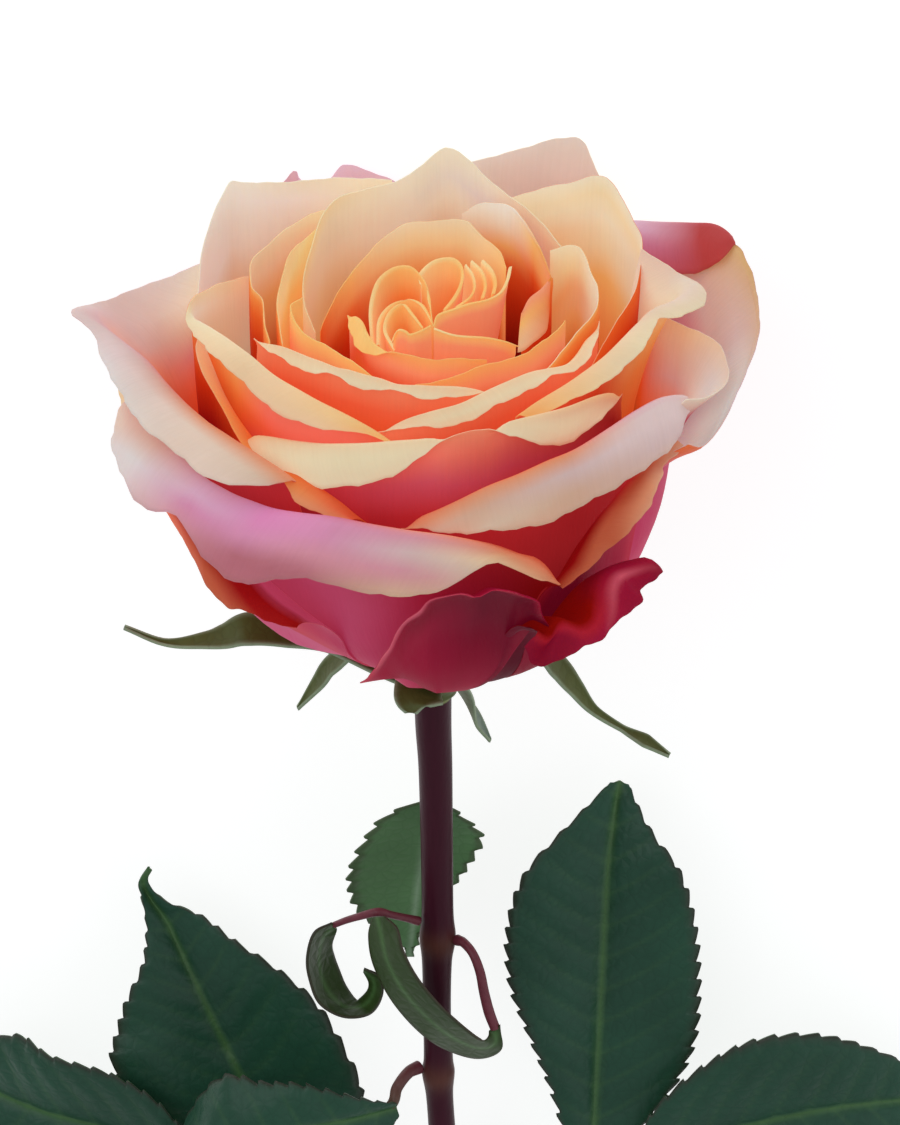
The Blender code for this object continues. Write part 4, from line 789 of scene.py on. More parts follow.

# The fades of each petal of the cup. Their darker, redder hues deep in the cup and on outer faces below
# rolled rims are partly the petals' own colour and partly painted shade.
TONES: Dict[str, Tone] = {
    "back_tall": Tone(
        (fade(-44, H.FLAME, -32, H.TANGERINE, -24, H.ORANGE, -16, H.APRICOT, -9, H.HONEY, -4, H.BUTTER,
              1, H.BUTTER), WARM,
         fade(-44, H.FLAME, -32, H.ORANGE, -22, H.APRICOT, -14, H.PEACH, -8, H.PEARL, 1, H.PEARL),
         fade(-44, H.FLAME, -32, H.ORANGE, -22, H.PEACH, -8, H.PEARL, -4, H.MIST, 1, H.PEARL),
         fade(-20, H.ORANGE, -10, H.APRICOT, -3, H.PEACH, 1, H.CREAM)), BACK_OUTSIDE),
    "back_left": Tone(
        (fade(-44, H.TANGERINE, -34, H.APRICOT, -26, H.APRICOT, -18, H.PEACH, -10, H.MILK, 1, H.MILK),
         fade(-44, H.TANGERINE, -34, H.ORANGE, -26, H.SALMON, -18, H.PEACH, -10, H.MILK, 1, H.MILK),
         fade(-40, H.ORANGE, -24, H.SALMON, -15, H.PEACH, -8, H.PEARL, -2, H.MILK, 1, H.PEARL),
         fade(-30, H.ORANGE, -12, H.PEACH, -5, H.PEARL, 1, H.PEARL)), BACK_OUTSIDE),
    "back_right_tall": Tone(
        (fade(-40, H.ORANGE, -22, H.PEACH, -12, H.MIST, 1, H.MIST),
         fade(-40, H.ORANGE, -22, H.PEACH, -12, H.SHELL, 1, H.SHELL)), BACK_OUTSIDE),
    "back_right": Tone(
        (fade(-30, H.ORANGE, -14, H.APRICOT, -8, H.APRICOT, -4, H.PEARL, 1, H.PEARL),
         fade(-38, H.TANGERINE, -30, H.ORANGE, -23, H.APRICOT, -17, H.HONEY, -12, H.IVORY, -6, H.PEARL,
              -2, H.IVORY, 1, H.PEARL),
         fade(-38, H.TANGERINE, -30, H.ORANGE, -23, H.APRICOT, -17, H.BUTTER, -12, H.PEARL, -5, H.PEARL,
              -2, H.IVORY, 1, H.PEARL),
         fade(-20, H.TANGERINE, -8, H.ORANGE, -2, H.HONEY, 1, H.BUTTER)),
        (fade(-20, H.EMBER, -4, H.FLAME, 1, H.TANGERINE),)),
    "back_tip": Tone((fade(-20, H.PINK, -2, H.ROSE, 1, H.MAUVE), VEILED,
                      VEILED, VEILED),
                     (fade(-30, H.PINK, -8, H.LILAC, 1, H.LILAC),)),
    "left_inner_outer": Tone(
        (DUSK,
         DUSK,
         fade(-30, H.FLAME, -15, H.TANGERINE, -8, H.ORANGE, -4, H.APRICOT, 1, H.HONEY)), (NEST_BACK,)),
    "left_inner": NEST,
    "left_front_inner": Tone(RING.inner, (fade(-16, H.FLAME, -9, H.CORAL, -4, H.SALMON, 1, H.HONEY),)),
    "inner_back": Tone(
        (fade(-20, H.EMBER, -9, H.EMBER, -4, H.FLAME, 1, H.TANGERINE),
         fade(-20, H.EMBER, -10, H.FLAME, -6, H.TANGERINE, -3, H.APRICOT, 1, H.HONEY),
         DAWN,
         DAWN,
         fade(-22, H.FLAME, -13, H.TANGERINE, -7, H.APRICOT, -3, H.HONEY, 1, H.HONEY)), (NEST_BACK,)),
    "inner_back_right": Tone(
        (fade(-20, H.FLAME, -12, H.TANGERINE, -7, H.APRICOT, -3, H.CREAM, 1, H.PEARL),
         fade(-24, H.EMBER, -15, H.FLAME, -10, H.TANGERINE, -6.5, H.HONEY, -3, H.PEARL, 1, H.MILK),
         fade(-20, H.EMBER, -9, H.FLAME, -6, H.TANGERINE, -3, H.APRICOT, 0, H.HONEY, 3, H.ORANGE),
         fade(-20, H.EMBER, -6, H.TANGERINE, -3, H.APRICOT, 0, H.SALMON, 3, H.TANGERINE),
         fade(-20, H.EMBER, -6, H.TANGERINE, 0, H.SALMON, 2, H.HONEY, 5, H.CREAM)), (NEST_BACK,)),
    "right_inner": Tone(
        (fade(-22, H.FLAME, -16, H.ORANGE, -12, H.APRICOT, -6, H.APRICOT, -3, H.BUTTER, 1, H.IVORY),
         fade(-22, H.FLAME, -16, H.ORANGE, -12, H.HONEY, -9, H.PEARL, 1, H.PEARL),
         fade(-22, H.FLAME, -12, H.ORANGE, -6, H.HONEY, 1, H.IVORY)), (NEST_BACK,)),
    "front_ring_left": RING,
    "front_ring_right": RING,
    "front_wavy": FRONT_WAVE,
    "front_right_wavy": FRONT_WAVE,
    "left_mid": Tone(
        (fade(-48, H.FLAME, -36, H.TANGERINE, -26, H.APRICOT, -18, H.BUTTER, -10, H.IVORY, 5, H.IVORY),
         fade(-48, H.FLAME, -32, H.TANGERINE, -20, H.ORANGE, -13, H.HONEY, -7, H.IVORY, -2, H.MILK,
              0.5, H.CREAM, 5, H.PEACH),
         fade(-34, H.FLAME, -22, H.TANGERINE, -12, H.ORANGE, -6, H.APRICOT, -2, H.HONEY, 0.5, H.PEACH,
              4, H.PEACH, 6, H.SALMON),
         fade(-34, H.FLAME, -22, H.TANGERINE, -12, H.ORANGE, -6, H.ORANGE, -2, H.APRICOT, 1, H.HONEY,
              4, H.PEACH)),
        (fade(-20, H.FLAME, -8, H.TANGERINE, 4, H.ORANGE),
         fade(-20, H.FLAME, -8, H.TANGERINE, 4, H.ORANGE),
         fade(-18, H.BLOOD, -9, H.FLAME, -4, H.TANGERINE, 4, H.ORANGE),
         fade(-18, H.BLOOD, -11, H.FLAME, -7, H.TANGERINE, 4, H.APRICOT),
         fade(-18, H.FLAME, -13, H.TANGERINE, -9, H.ORANGE, -5, H.APRICOT, 4, H.APRICOT),
         fade(-18, H.ROSE, -12, H.CORAL, -8, H.MELON, 4, H.SALMON),
         fade(-16, H.ROSE, -10, H.MELON, 4, H.MELON),
         fade(-16, H.ROSE, -8, H.MELON, -5, H.MELON, 4, H.CORAL),
         fade(-14, H.CHERRY, -5, H.CORAL, 4, H.CORAL))),
    "front_centre": Tone(
        (fade(-24, H.FLAME, -8, H.TANGERINE, -1, H.APRICOT, 1, H.PEACH, 3, H.CREAM, 7, H.CREAM),
         fade(-24, H.FLAME, -8, H.TANGERINE, -1, H.PEACH, 2, H.CREAM, 7, H.CREAM),
         fade(-24, H.FLAME, -8, H.TANGERINE, -1, H.PEACH, 2, H.CREAM, 4, H.CREAM, 6, H.TERRA),
         fade(-24, H.FLAME, -8, H.TANGERINE, -1, H.APRICOT, 1, H.TERRA, 3, H.PEACH, 6, H.PEACH)),
        (fade(-30, H.CRIMSON, -14, H.CRIMSON, -6, H.CHERRY, 3, H.CORAL),
         fade(-30, H.CRIMSON, -14, H.CHERRY, -8, H.ROSE, -3, H.MELON, 3, H.SALMON),
         fade(-30, H.CRIMSON, -14, H.CHERRY, -4, H.BLOOD, 3, H.CORAL))),
    "left_under": Tone(
        (fade(-20, H.FLAME, -10, H.ORANGE, -5, H.PEACH, 0, H.IVORY, 5, H.IVORY),
         fade(-20, H.FLAME, -10, H.TANGERINE, -5, H.ORANGE, 0, H.APRICOT, 5, H.HONEY),
         fade(-20, H.FLAME, -8, H.TANGERINE, -1, H.TANGERINE, 1, H.ORANGE, 4, H.TERRA),
         fade(-20, H.FLAME, -5, H.TANGERINE, 0, H.CORAL, 2, H.TERRA, 4, H.TERRA)),
        (fade(-34, H.EMBER, -12, H.BLOOD, -4, H.FLAME, 3, H.CORAL),)),
    "right_tongue": Tone(
        (fade(-34, H.TANGERINE, -26, H.ORANGE, -18, H.APRICOT, -10, H.IVORY, -4, H.PEARL, 1, H.SHELL),
         fade(-26, H.TANGERINE, -12, H.APRICOT, -5, H.CREAM, 0, H.SHELL, 4, H.CREAM),
         fade(-26, H.TANGERINE, -8, H.ORANGE, -2, H.APRICOT, 0.5, H.PEACH, 4, H.CREAM, 6, H.HONEY),
         fade(-26, H.TANGERINE, -6, H.ORANGE, -1, H.APRICOT, 1, H.APRICOT, 4, H.HONEY)),
        (fade(-20, H.ORANGE, -6, H.APRICOT, 3, H.PEACH),
         fade(-20, H.TANGERINE, -12, H.ORANGE, -7, H.APRICOT, 3, H.PEACH),
         fade(-20, H.FLAME, -6, H.FLAME, -2, H.CORAL, 3, H.CORAL),
         fade(-20, H.CHERRY, -6, H.CORAL, 3, H.CORAL))),
    "right_mid": Tone(
        (fade(-24, H.FLAME, -13, H.TANGERINE, -5, H.TANGERINE, -1, H.ORANGE, 1, H.TERRA),
         fade(-24, H.FLAME, -13, H.TANGERINE, -6, H.TANGERINE, -2, H.TERRA, 1, H.TERRA),
         fade(-24, H.CORAL, -15, H.SALMON, -9, H.BLUSH, -5, H.SHELL, 1, H.PEACH),
         fade(-24, H.SALMON, -14, H.BLUSH, -8, H.MILK, -3, H.MIST, 1, H.SHELL),
         fade(-24, H.SALMON, -12, H.BLUSH, -6, H.MILK, 1, H.PEARL)),
        (fade(-24, H.MAGENTA, -8, H.MAGENTA, 1, H.SHELL),)),
    "left_wing": Tone(
        (fade(-34, H.BLOOD, -26, H.FLAME, -18, H.CORAL, -13, H.PINK, -9, H.SHELL, -5, H.MILK, 1, H.MIST),
         fade(-34, H.BLOOD, -26, H.FLAME, -19, H.CORAL, -14, H.SALMON, -9, H.BLUSH, -5, H.BLUSH, 1, H.BLUSH,
              4, H.BLUSH),
         fade(-30, H.BLOOD, -20, H.FLAME, -12, H.CORAL, -6, H.SALMON, -2, H.PINK, 1, H.DUSK, 3, H.BLUSH,
              7, H.MIST),
         fade(-24, H.BLOOD, -14, H.FLAME, -7, H.CORAL, -2, H.SALMON, 0.5, H.TERRA, 3, H.SHELL, 8, H.SHELL),
         fade(-24, H.BLOOD, -10, H.FLAME, -4, H.CORAL, 0.5, H.TERRA, 3, H.TAN, 7, H.SHELL)),
        (fade(-34, H.CRIMSON, -8, H.ROSE, 3, H.PINK),
         fade(-34, H.CRIMSON, -8, H.CHERRY, 3, H.CHERRY))),
    "right_wing": Tone(
        (fade(-40, H.CHERRY, -28, H.PINK, -6, H.PINK, -2, H.CLAY, 1, H.OCHRE),
         fade(-40, H.CHERRY, -28, H.PINK, -12, H.PINK, -6, H.CLAY, 1, H.OCHRE),
         fade(-40, H.CHERRY, -28, H.PINK, -14, H.PINK, -9, H.DUSK, -4, H.CLAY, 1, H.OCHRE),
         fade(-40, H.ROSE, -26, H.PINK, -14, H.PINK, -9, H.DUSK, -3, H.DUSK, 1, H.CLAY),
         fade(-40, H.ROSE, -28, H.PINK, -16, H.BLUSH, -9, H.MIST, -4, H.MIST, 1, H.ASH),
         fade(-40, H.ROSE, -30, H.DUSK, -22, H.MILK, -3, H.MILK, 1, H.ASH)),
        (fade(-20, H.PINK, -2, H.MIST, 2, H.VEIL, 5, H.VEIL, 9, H.LILAC, 15, H.ROSE),
         fade(-20, H.ROSE, -4, H.ROSE, 2, H.BRICK, 9, H.BRICK),
         fade(-20, H.ROSE, 0, H.BRICK, 9, H.BRICK),
         fade(-20, H.ROSE, 0, H.PINK),
         fade(-20, H.ROSE, 0, H.PINK),
         fade(-20, H.MAGENTA, -9, H.MAGENTA, -4, H.CORAL, 0, H.TANGERINE))),
    # The duller TAN, DUSK and CLAY on the rolled flap are partly painted shade.
    "right_front": Tone(
        (fade(-24, H.EMBER, -8, H.FLAME, -1, H.CORAL, 1, H.TERRA, 3, H.TAN, 6, H.TERRA, 9, H.HONEY),
         fade(-24, H.EMBER, -8, H.FLAME, -1, H.CORAL, 0.5, H.TERRA, 3, H.CLAY, 6, H.TAN, 10, H.TERRA),
         fade(-24, H.EMBER, -8, H.FLAME, -1, H.CORAL, 0.5, H.TERRA, 3, H.DUSK, 6, H.CLAY, 10, H.CLAY),
         fade(-24, H.EMBER, -8, H.FLAME, -1, H.PINK, 1, H.BLUSH, 3, H.BLUSH, 6, H.DUSK, 10, H.CLAY),
         fade(-24, H.EMBER, -8, H.FLAME, -2, H.SHELL, 0, H.BLUSH, 3, H.BLUSH, 6, H.DUSK, 9, H.TAN)),
        (fade(-40, H.CRIMSON, -26, H.CHERRY, -4, H.CHERRY, 4, H.CHERRY),
         fade(-40, H.BLOOD, -24, H.CHERRY, -4, H.CHERRY, 4, H.CHERRY))),
    "right_low": Tone(
        (fade(-26, H.EMBER, -8, H.EMBER, -1, H.BLOOD, 1, H.RUST, 5, H.TERRA),
         fade(-26, H.EMBER, -8, H.BLOOD, -1, H.BLOOD, 1, H.RUST, 4, H.RUST, 8, H.TERRA),
         fade(-26, H.EMBER, -8, H.CRIMSON, -1, H.CHERRY, 1.5, H.RUST, 4, H.TERRA, 8, H.CLAY),
         fade(-26, H.EMBER, -8, H.FLAME, -1, H.CORAL, 1, H.TERRA, 3, H.CLAY, 5, H.SHELL)),
        (fade(-30, H.GARNET, -14, H.GARNET, -2, H.CRIMSON, 6, H.CRIMSON),
         fade(-30, H.GARNET, -14, H.GARNET, -2, H.CRIMSON, 6, H.MAGENTA),
         fade(-30, H.CLARET, -14, H.RUBY, -2, H.RUBY, 6, H.MAGENTA))),
    # The MAUVE towards the band's rolled edge is partly painted shade.
    "front_left_band": Tone(
        (fade(-24, H.CHERRY, -6, H.SALMON, -2, H.SHELL, 3, H.SHELL, 7, H.BLUSH, 11, H.BLUSH),
         fade(-24, H.CHERRY, -6, H.SALMON, -2, H.SHELL, 2, H.SHELL, 6, H.MIST, 11, H.BLUSH),
         fade(-24, H.CRIMSON, -8, H.CHERRY, -2, H.BLUSH, 0.5, H.VEIL, 4, H.VEIL, 6, H.LILAC, 9, H.PINK,
              12, H.MAUVE),
         fade(-24, H.CRIMSON, -8, H.CHERRY, -2, H.ROSE, 0, H.ORCHID, 3, H.ORCHID, 6, H.LILAC, 9, H.MAUVE,
              13, H.MAUVE),
         fade(-24, H.CRIMSON, -8, H.CHERRY, -1, H.ROSE, 1, H.LILAC, 4, H.LILAC, 7, H.PINK, 10, H.MAUVE),
         fade(-24, H.CRIMSON, -8, H.CHERRY, -1, H.SALMON, 1, H.PINK, 4, H.DUSK, 7, H.PINK, 10, H.CLAY),
         fade(-24, H.CRIMSON, -8, H.CHERRY, -1, H.CORAL, 1, H.TERRA, 3, H.PEACH, 5, H.TAN, 8, H.CLAY),
         fade(-24, H.CRIMSON, -8, H.CHERRY, -1, H.CORAL, 1, H.TERRA, 4, H.PEACH, 9, H.BUTTER)),
        (fade(-40, H.HOT_PINK, -16, H.HOT_PINK, 2, H.SALMON),
         fade(-40, H.HOT_PINK, -18, H.HOT_PINK, -4, H.HOT_PINK, 4, H.PINK),
         fade(-40, H.MAGENTA, -26, H.HOT_PINK, -18, H.HOT_PINK, -4, H.HOT_PINK, 4, H.HOT_PINK),
         fade(-40, H.MAGENTA, -18, H.RUBY, -4, H.CHERRY, 4, H.CHERRY),
         fade(-40, H.BLOOD, -14, H.BLOOD, 0, H.BLOOD, 4, H.CHERRY))),
    "left_low": Tone(
        (fade(-20, H.EMBER, -6, H.CRIMSON, -1, H.CHERRY, 4, H.CORAL, 6, H.CORAL),
         fade(-20, H.ROSE, -9, H.HOT_PINK, -3, H.HOT_PINK, -0.5, H.BLOOD, 2, H.BLOOD, 6, H.RUST),
         fade(-20, H.ROSE, -9, H.HOT_PINK, -3, H.HOT_PINK, -0.5, H.BLOOD, 2, H.BLOOD, 6, H.BRICK)),
        (fade(-30, H.CHERRY, -12, H.CRIMSON, -3, H.FLAME, 4, H.CORAL),
         fade(-30, H.MAGENTA, -12, H.MAGENTA, -3, H.CHERRY, 4, H.CHERRY))),
    # In guard_left's outer fades the BORDEAUX and WINE bands are painted shade of its folds; in guard_right
    # the CRIMSON crest line and the ROSE spot are painted highlights.
    "guard_left": Tone(
        (fade(-12, H.GARNET, 0, H.CLARET),),
        (fade(-40, H.CLARET, -1, H.CLARET, 1, H.RUBY),
         fade(-40, H.CLARET, -3, H.CLARET, 1, H.ROSE),
         fade(-40, H.CLARET, -14, H.CLARET, -8, H.GARNET, -3, H.GARNET, 1, H.ROSE),
         fade(-40, H.CLARET, -28, H.GARNET, -16, H.BORDEAUX, -7, H.BORDEAUX, -3, H.GARNET, 1, H.RUBY),
         fade(-40, H.CLARET, -24, H.BORDEAUX, -12, H.GARNET, -4, H.BORDEAUX, 1, H.WINE))),
    "guard_right": Tone(
        (fade(-12, H.EMBER, -1.5, H.EMBER, 0, H.CRIMSON, 1.2, H.GARNET, 4, H.BORDEAUX, 8, H.GARNET),
         fade(-12, H.EMBER, -1.5, H.EMBER, 0, H.CRIMSON, 1.5, H.GARNET, 4, H.GARNET, 8, H.WINE),
         fade(-12, H.EMBER, -1.5, H.EMBER, 0, H.CRIMSON, 1.5, H.CLARET, 4, H.GARNET, 8, H.GARNET),
         fade(-12, H.EMBER, -3, H.GARNET, 0, H.CLARET, 1.5, H.ROSE, 2.5, H.CLARET, 8, H.GARNET),
         fade(-12, H.EMBER, -3, H.GARNET, 0, H.CLARET, 2, H.GARNET, 5, H.BORDEAUX, 8, H.WINE)),
        (fade(-30, H.WINE, -12, H.BORDEAUX, -2, H.WINE, 6, H.GARNET),)),
}
# How high the rims of some petals wave.
RUFFLES: Dict[str, float] = {"guard_left": 0.5, "guard_right": 0.8}
# The pieces of the cup and their petals.
GROUPS: Dict[str, Tuple[str, ...]] = {
    "petals_back": ("back_tall", "back_left", "back_right_tall", "back_right", "back_tip"),
    "petals_inner": ("left_inner_outer", "left_inner", "left_front_inner", "inner_back", "inner_back_right",
                     "right_inner", "front_ring_left", "front_ring_right"),
    "petals_front": ("front_wavy", "front_right_wavy", "left_mid", "front_centre", "left_under",
                     "right_tongue", "right_mid"),
    "petals_outer": ("left_wing", "right_wing", "right_front", "right_low", "front_left_band", "left_low"),
    "petals_guard": ("guard_left", "guard_right"),
}
# The fades of the petals behind the bloom.
BACK_TONE = Tone(
    (fade(-40, H.TANGERINE, -14, H.SALMON, 0, H.PEACH),),
    (fade(-50, H.GARNET, -30, H.MAGENTA, -12, H.MAGENTA, 0, H.PINK, 5, H.SHELL),))


@dataclass(frozen=True)
class CupShape:
    """The cup that the petals follow: narrow at the neck, swelling fast, then nearly upright."""

    neck: float = 6.0
    belly: float = 29.5
    belly_left: float = 2.9
    belly_sides: float = 2.6
    belly_back: float = 8.0
    swell: float = 11.0
    swell_corner: float = 13.0
    flare_power: float = 6.0
    claw_share: float = 0.5
    claw_height: float = 24.0
    flap_fall: float = 0.11
    lip: float = 1.0
    ragged: Tuple[Tuple[float, float], ...] = ((0.45, 0.22), (1.1, 0.14), (2.3, 0.08))
    steps: Tuple[float, ...] = (0.0, 0.25, 0.5, 0.75, 0.93)
    cuts: Tuple[int, ...] = (5, 6, 7, 7, 4, 6, 6)
    root_radii: Tuple[float, ...] = (10.0, 16.0, 24.0, 30.0, 36.0, 40.0, 40.5)
    root_heights: Tuple[float, ...] = (24.0, 20.0, 16.0, 12.0, 8.0, 3.0, 0.0)
    root_lift: float = 1.6
    root_inset: float = 2.0
    rise_power: float = 1.3
    lip_fall: float = 2.0
    crown_lift: float = 0.12
    crown_fall: float = 3.0
    crown_start: float = 0.2

    def stations(self, marks: Sequence[Station], count: int) -> Tuple[np.ndarray, np.ndarray]:
        """Crest and rim edge of a petal at places evenly spread across it.

        Args:
            marks: Crest pixel and distance in front of the axis, and the pixel of a rolled rim's edge.
            count: How many places.

        Returns:
            The crest points and the edge points.
        """
        crest = VIEW.points([mark[:3] for mark in marks])
        rolled = np.array([len(mark) > 3 for mark in marks])
        full = [mark if len(mark) > 3 else (*mark, *mark[:2]) for mark in marks]
        edge = VIEW.points([(m[3], m[4], m[5] if len(m) > 5 else m[2] + self.flap_fall * (m[4] - m[1]))
                            for m in full])
        edge = np.where(rolled[:, None], edge, crest)
        places = edged_places(crest, count)
        return smooth_curve(crest, places), smooth_curve(edge, places)

    def wall(self, crest: np.ndarray, edge: np.ndarray, layer: float) -> Tuple[np.ndarray, np.ndarray]:
        """A petal from its root to its edge.

        Its reach is bowl(height) * share + flare * (height / crest height) ** flare_power. There bowl is
        neck + belly * (1 - exp(-height / swell)), the share of a petal inside the bowl is its crest's reach
        over the bowl's, at most 1, and the flare is what its crest reaches beyond the bowl. The swell is
        slower at the front left, by swell_corner times the bearing's sine and cosine. A petal fans out from
        a narrow claw. Past the crest it rolls over a raised crown down to its edge, whose ragged line is a
        sum of sines.

        Args:
            crest: Points along the crest.
            edge: Points along the rim's edge.
            layer: How far outside the bowl it lies.

        Returns:
            The grid of points, and for each the distance walked past the crest, below 0 inside the cup.
        """
        angle = np.unwrap(np.arctan2(crest[:, 0], crest[:, 1]))
        radius = np.hypot(crest[:, 0], crest[:, 1])
        aside = np.sin(angle)
        behind = 0.5 - 0.5 * np.cos(angle)
        belly = (self.belly + layer - self.belly_left * aside + self.belly_sides * aside ** 2
                 + self.belly_back * behind ** 3)
        swell = self.swell + self.swell_corner * np.maximum(-aside, 0.0) * np.maximum(np.cos(angle), 0.0)
        bowl = self.neck + belly * (1.0 - np.exp(-crest[:, 2] / swell))
        flare = np.maximum(radius - bowl, 0.0)
        share = np.minimum(radius / bowl, 1.0)
        start = float(np.interp(radius.mean(), self.root_radii, self.root_heights))
        middle = 0.5 * (angle.max() + angle.min())
        rows = []
        for step in self.steps:
            height = start + (crest[:, 2] - start) * step ** self.rise_power
            bowl = self.neck + belly * (1.0 - np.exp(-height / swell))
            reach = bowl * share + flare * (height / crest[:, 2]) ** self.flare_power
            if start < 1.0 and step == 0.0:
                height = height + self.root_lift
                reach = reach * 0.0 + self.neck - self.root_inset
            fan = self.claw_share + (1.0 - self.claw_share) * smooth_step(height / self.claw_height)
            turn = middle + (angle - middle) * fan
            rows.append(np.stack([reach * np.sin(turn), reach * np.cos(turn), height], axis=1))
        fall = np.linalg.norm(edge - crest, axis=1, keepdims=True)
        rising = crest - rows[-1]
        rising /= np.linalg.norm(rising, axis=1, keepdims=True)
        crest = crest - rising * self.lip * (1.0 - smooth_step(fall / self.lip_fall))
        walked = walked_lengths(edge[:, None], 0)
        waves = sum(np.sin(walked * pace + crest[0, 0] * pace) * share for pace, share in self.ragged)
        edge = edge + (edge - crest) / np.maximum(fall, self.lip_fall) * waves
        raised = fall * np.array([0.0, 0.0, self.crown_lift])
        crown = 0.5 * (crest + edge) + raised * smooth_step(fall / self.crown_fall - self.crown_start)
        grid = smooth_rows(np.array(rows + [crest, crown, edge]), self.cuts)
        walked = walked_lengths(grid, 0)
        return grid, walked - walked[sum(self.cuts[:len(self.steps)])]


@dataclass
class Bloom:
    """Every petal of the bloom, in the layers that the picture shows, and the core that they stand in."""

    cup: CupShape = field(default_factory=CupShape)
    thickness: float = 0.36
    rim_thickness: float = 0.16
    rim_width: float = 2.5
    columns: int = 61
    side_width: float = 4.0
    side_fade: float = 0.35
    waves: Tuple[Triple, ...] = ((0.10, 0.18, 0.6), (0.25, 0.4, 0.28), (0.6, 0.9, 0.14))
    wave_slant: float = 0.08
    wave_start: float = 12.0
    wave_grow: float = 16.0
    ruffle: float = 0.22
    heart_ruffle: float = 0.12
    back_ruffle: float = 0.25
    curl_depth: float = 20.0
    curl_columns: int = 41
    curl_foot: float = 0.62
    curl_power: float = 0.7
    curl_steps: Tuple[float, ...] = (0.0, 0.35, 0.7, 0.93)
    curl_cuts: Tuple[int, ...] = (7, 8, 8, 5, 3)
    curl_lip: float = 0.35
    curl_fall: float = 0.05
    back_sink: float = 9.0
    back_inset: float = 1.5
    back_rim: float = 0.6
    core_rows: int = 40
    core_sides: int = 48
    seed: int = 7
    heart_seed: int = 60
    back_seed: int = 80

    def ruffled(self, grid: np.ndarray, past: np.ndarray, number: int, reach: float) -> np.ndarray:
        """A petal whose rim waves a little: sines across it that grow towards the edge.

        Args:
            grid: Points of the petal.
            past: Distance of each past the crest.
            number: The petal's number, which sets its own phases.
            reach: Height of the waves.

        Returns:
            The waved grid.
        """
        draw = np.random.default_rng(self.seed + number)
        across = walked_lengths(grid, 1)
        wave = sum(np.sin(across * draw.uniform(low, high) + draw.uniform(0.0, 6.3) + past * self.wave_slant)
                   * share for low, high, share in self.waves)
        grow = smooth_step((past + self.wave_start) / self.wave_grow)
        return grid + grid_normals(grid) * (wave * grow * reach)[..., None]

    def skin(self, grid: np.ndarray, past: np.ndarray, tone: Tone) -> Skin:
        """A petal as a closed blade that thins out towards its rim, with its colours painted on.

        Args:
            grid: Points of the petal.
            past: Distance of each past the crest.
            tone: Its fades.

        Returns:
            The petal's skin, laid down in the room.
        """
        across = walked_lengths(grid, 1)
        share = across / across[:, -1:]
        aside = np.minimum(across, across[:, -1:] - across)
        ahead = past[-1:] - past
        border = np.minimum(aside, ahead)
        half = 0.5 * (self.rim_thickness + (self.thickness - self.rim_thickness)
                      * smooth_step(border / self.rim_width))
        lift = (1.0 - smooth_step(aside / self.side_width)) * self.side_fade
        seen = np.where(past < 0.0, past * (1.0 - lift), past)
        inner = spread_fades(tone.inner, seen, share)
        outer = spread_fades(tone.outer, seen, share)
        room = POSE.lay(grid)
        room[..., 2] = np.maximum(room[..., 2], half * METRES)
        faces = (outer, inner) if self.faces_outward(grid) else (inner, outer)
        return Skin.blade(room, half * METRES, faces).turned_out()

    @staticmethod
    def faces_outward(grid: np.ndarray) -> bool:
        """Whether a grid's normals point outward once it is laid down, which mirrors it."""
        rows = grid.shape[0] // 2
        normal = grid_normals(grid)[rows]
        away = grid[rows] * np.array([1.0, 1.0, 0.0])
        return bool((normal * away).sum() < 0.0)

    def cup_petal(self, number: int, name: str) -> Skin:
        """One petal of the cup, from its marks."""
        marks = CUP_MARKS[name]
        grid, past = self.cup.wall(*self.cup.stations(marks, self.columns), LAYERS.get(name, 0.0))
        reach = RUFFLES.get(name, self.ruffle)
        return self.skin(self.ruffled(grid, past, number, reach), past, TONES[name])

    def curl_petal(self, number: int, marks: Sequence[Station]) -> Skin:
        """One petal of the heart: a wall that stands almost upright and turns its lip a little outward."""
        points = VIEW.points(marks)
        crest = smooth_curve(points, edged_places(points, self.curl_columns))
        rows = []
        for step in self.curl_steps:
            narrow = self.curl_foot + (1.0 - self.curl_foot) * step ** self.curl_power
            rows.append(crest * np.array([narrow, narrow, 1.0])
                        - np.array([0.0, 0.0, self.curl_depth * (1.0 - step)]))
        outward = crest * np.array([1.0, 1.0, 0.0])
        outward /= np.maximum(np.linalg.norm(outward, axis=1, keepdims=True), 0.5)
        rows += [crest, crest + outward * self.curl_lip - np.array([0.0, 0.0, self.curl_fall])]
        grid = smooth_rows(np.array(rows), self.curl_cuts)
        walked = walked_lengths(grid, 0)
        past = walked - walked[sum(self.curl_cuts[:len(self.curl_steps)])]
        return self.skin(self.ruffled(grid, past, number, self.heart_ruffle), past, GOLD)

    def hidden_petal(self, number: int, layer: float, bearing: float, half_spread: float, radius: float,
                     height: float, reach: float, drop: float) -> Skin:
        """A petal behind the bloom, placed by its bearing round the axis.

        Its crest sinks towards its sides with the fourth power of the share across, and its rim stands out.

        Args:
            number: The petal's number.
            layer: How far outside the bowl it lies.
            bearing: Middle bearing in degrees, 0 in front.
            half_spread: Degrees to either side.
            radius: Radius of the crest.
            height: Height of the crest.
            reach: How far the rim stands out.
            drop: How far the rim's edge hangs below the crest.

        Returns:
            The petal's skin.
        """
        share = np.linspace(-1.0, 1.0, self.columns)
        turn = np.radians(bearing + half_spread * share)
        rise = height - self.back_sink * share ** 4
        wide = radius - self.back_inset * share ** 2
        crest = np.stack([wide * np.sin(turn), wide * np.cos(turn), rise], axis=1)
        rim = wide + reach * (1.0 - self.back_rim * share ** 4)
        edge = np.stack([rim * np.sin(turn), rim * np.cos(turn), rise - drop * (1.0 - share ** 4)], axis=1)
        grid, past = self.cup.wall(crest, edge, layer)
        return self.skin(self.ruffled(grid, past, number, self.back_ruffle), past, BACK_TONE)

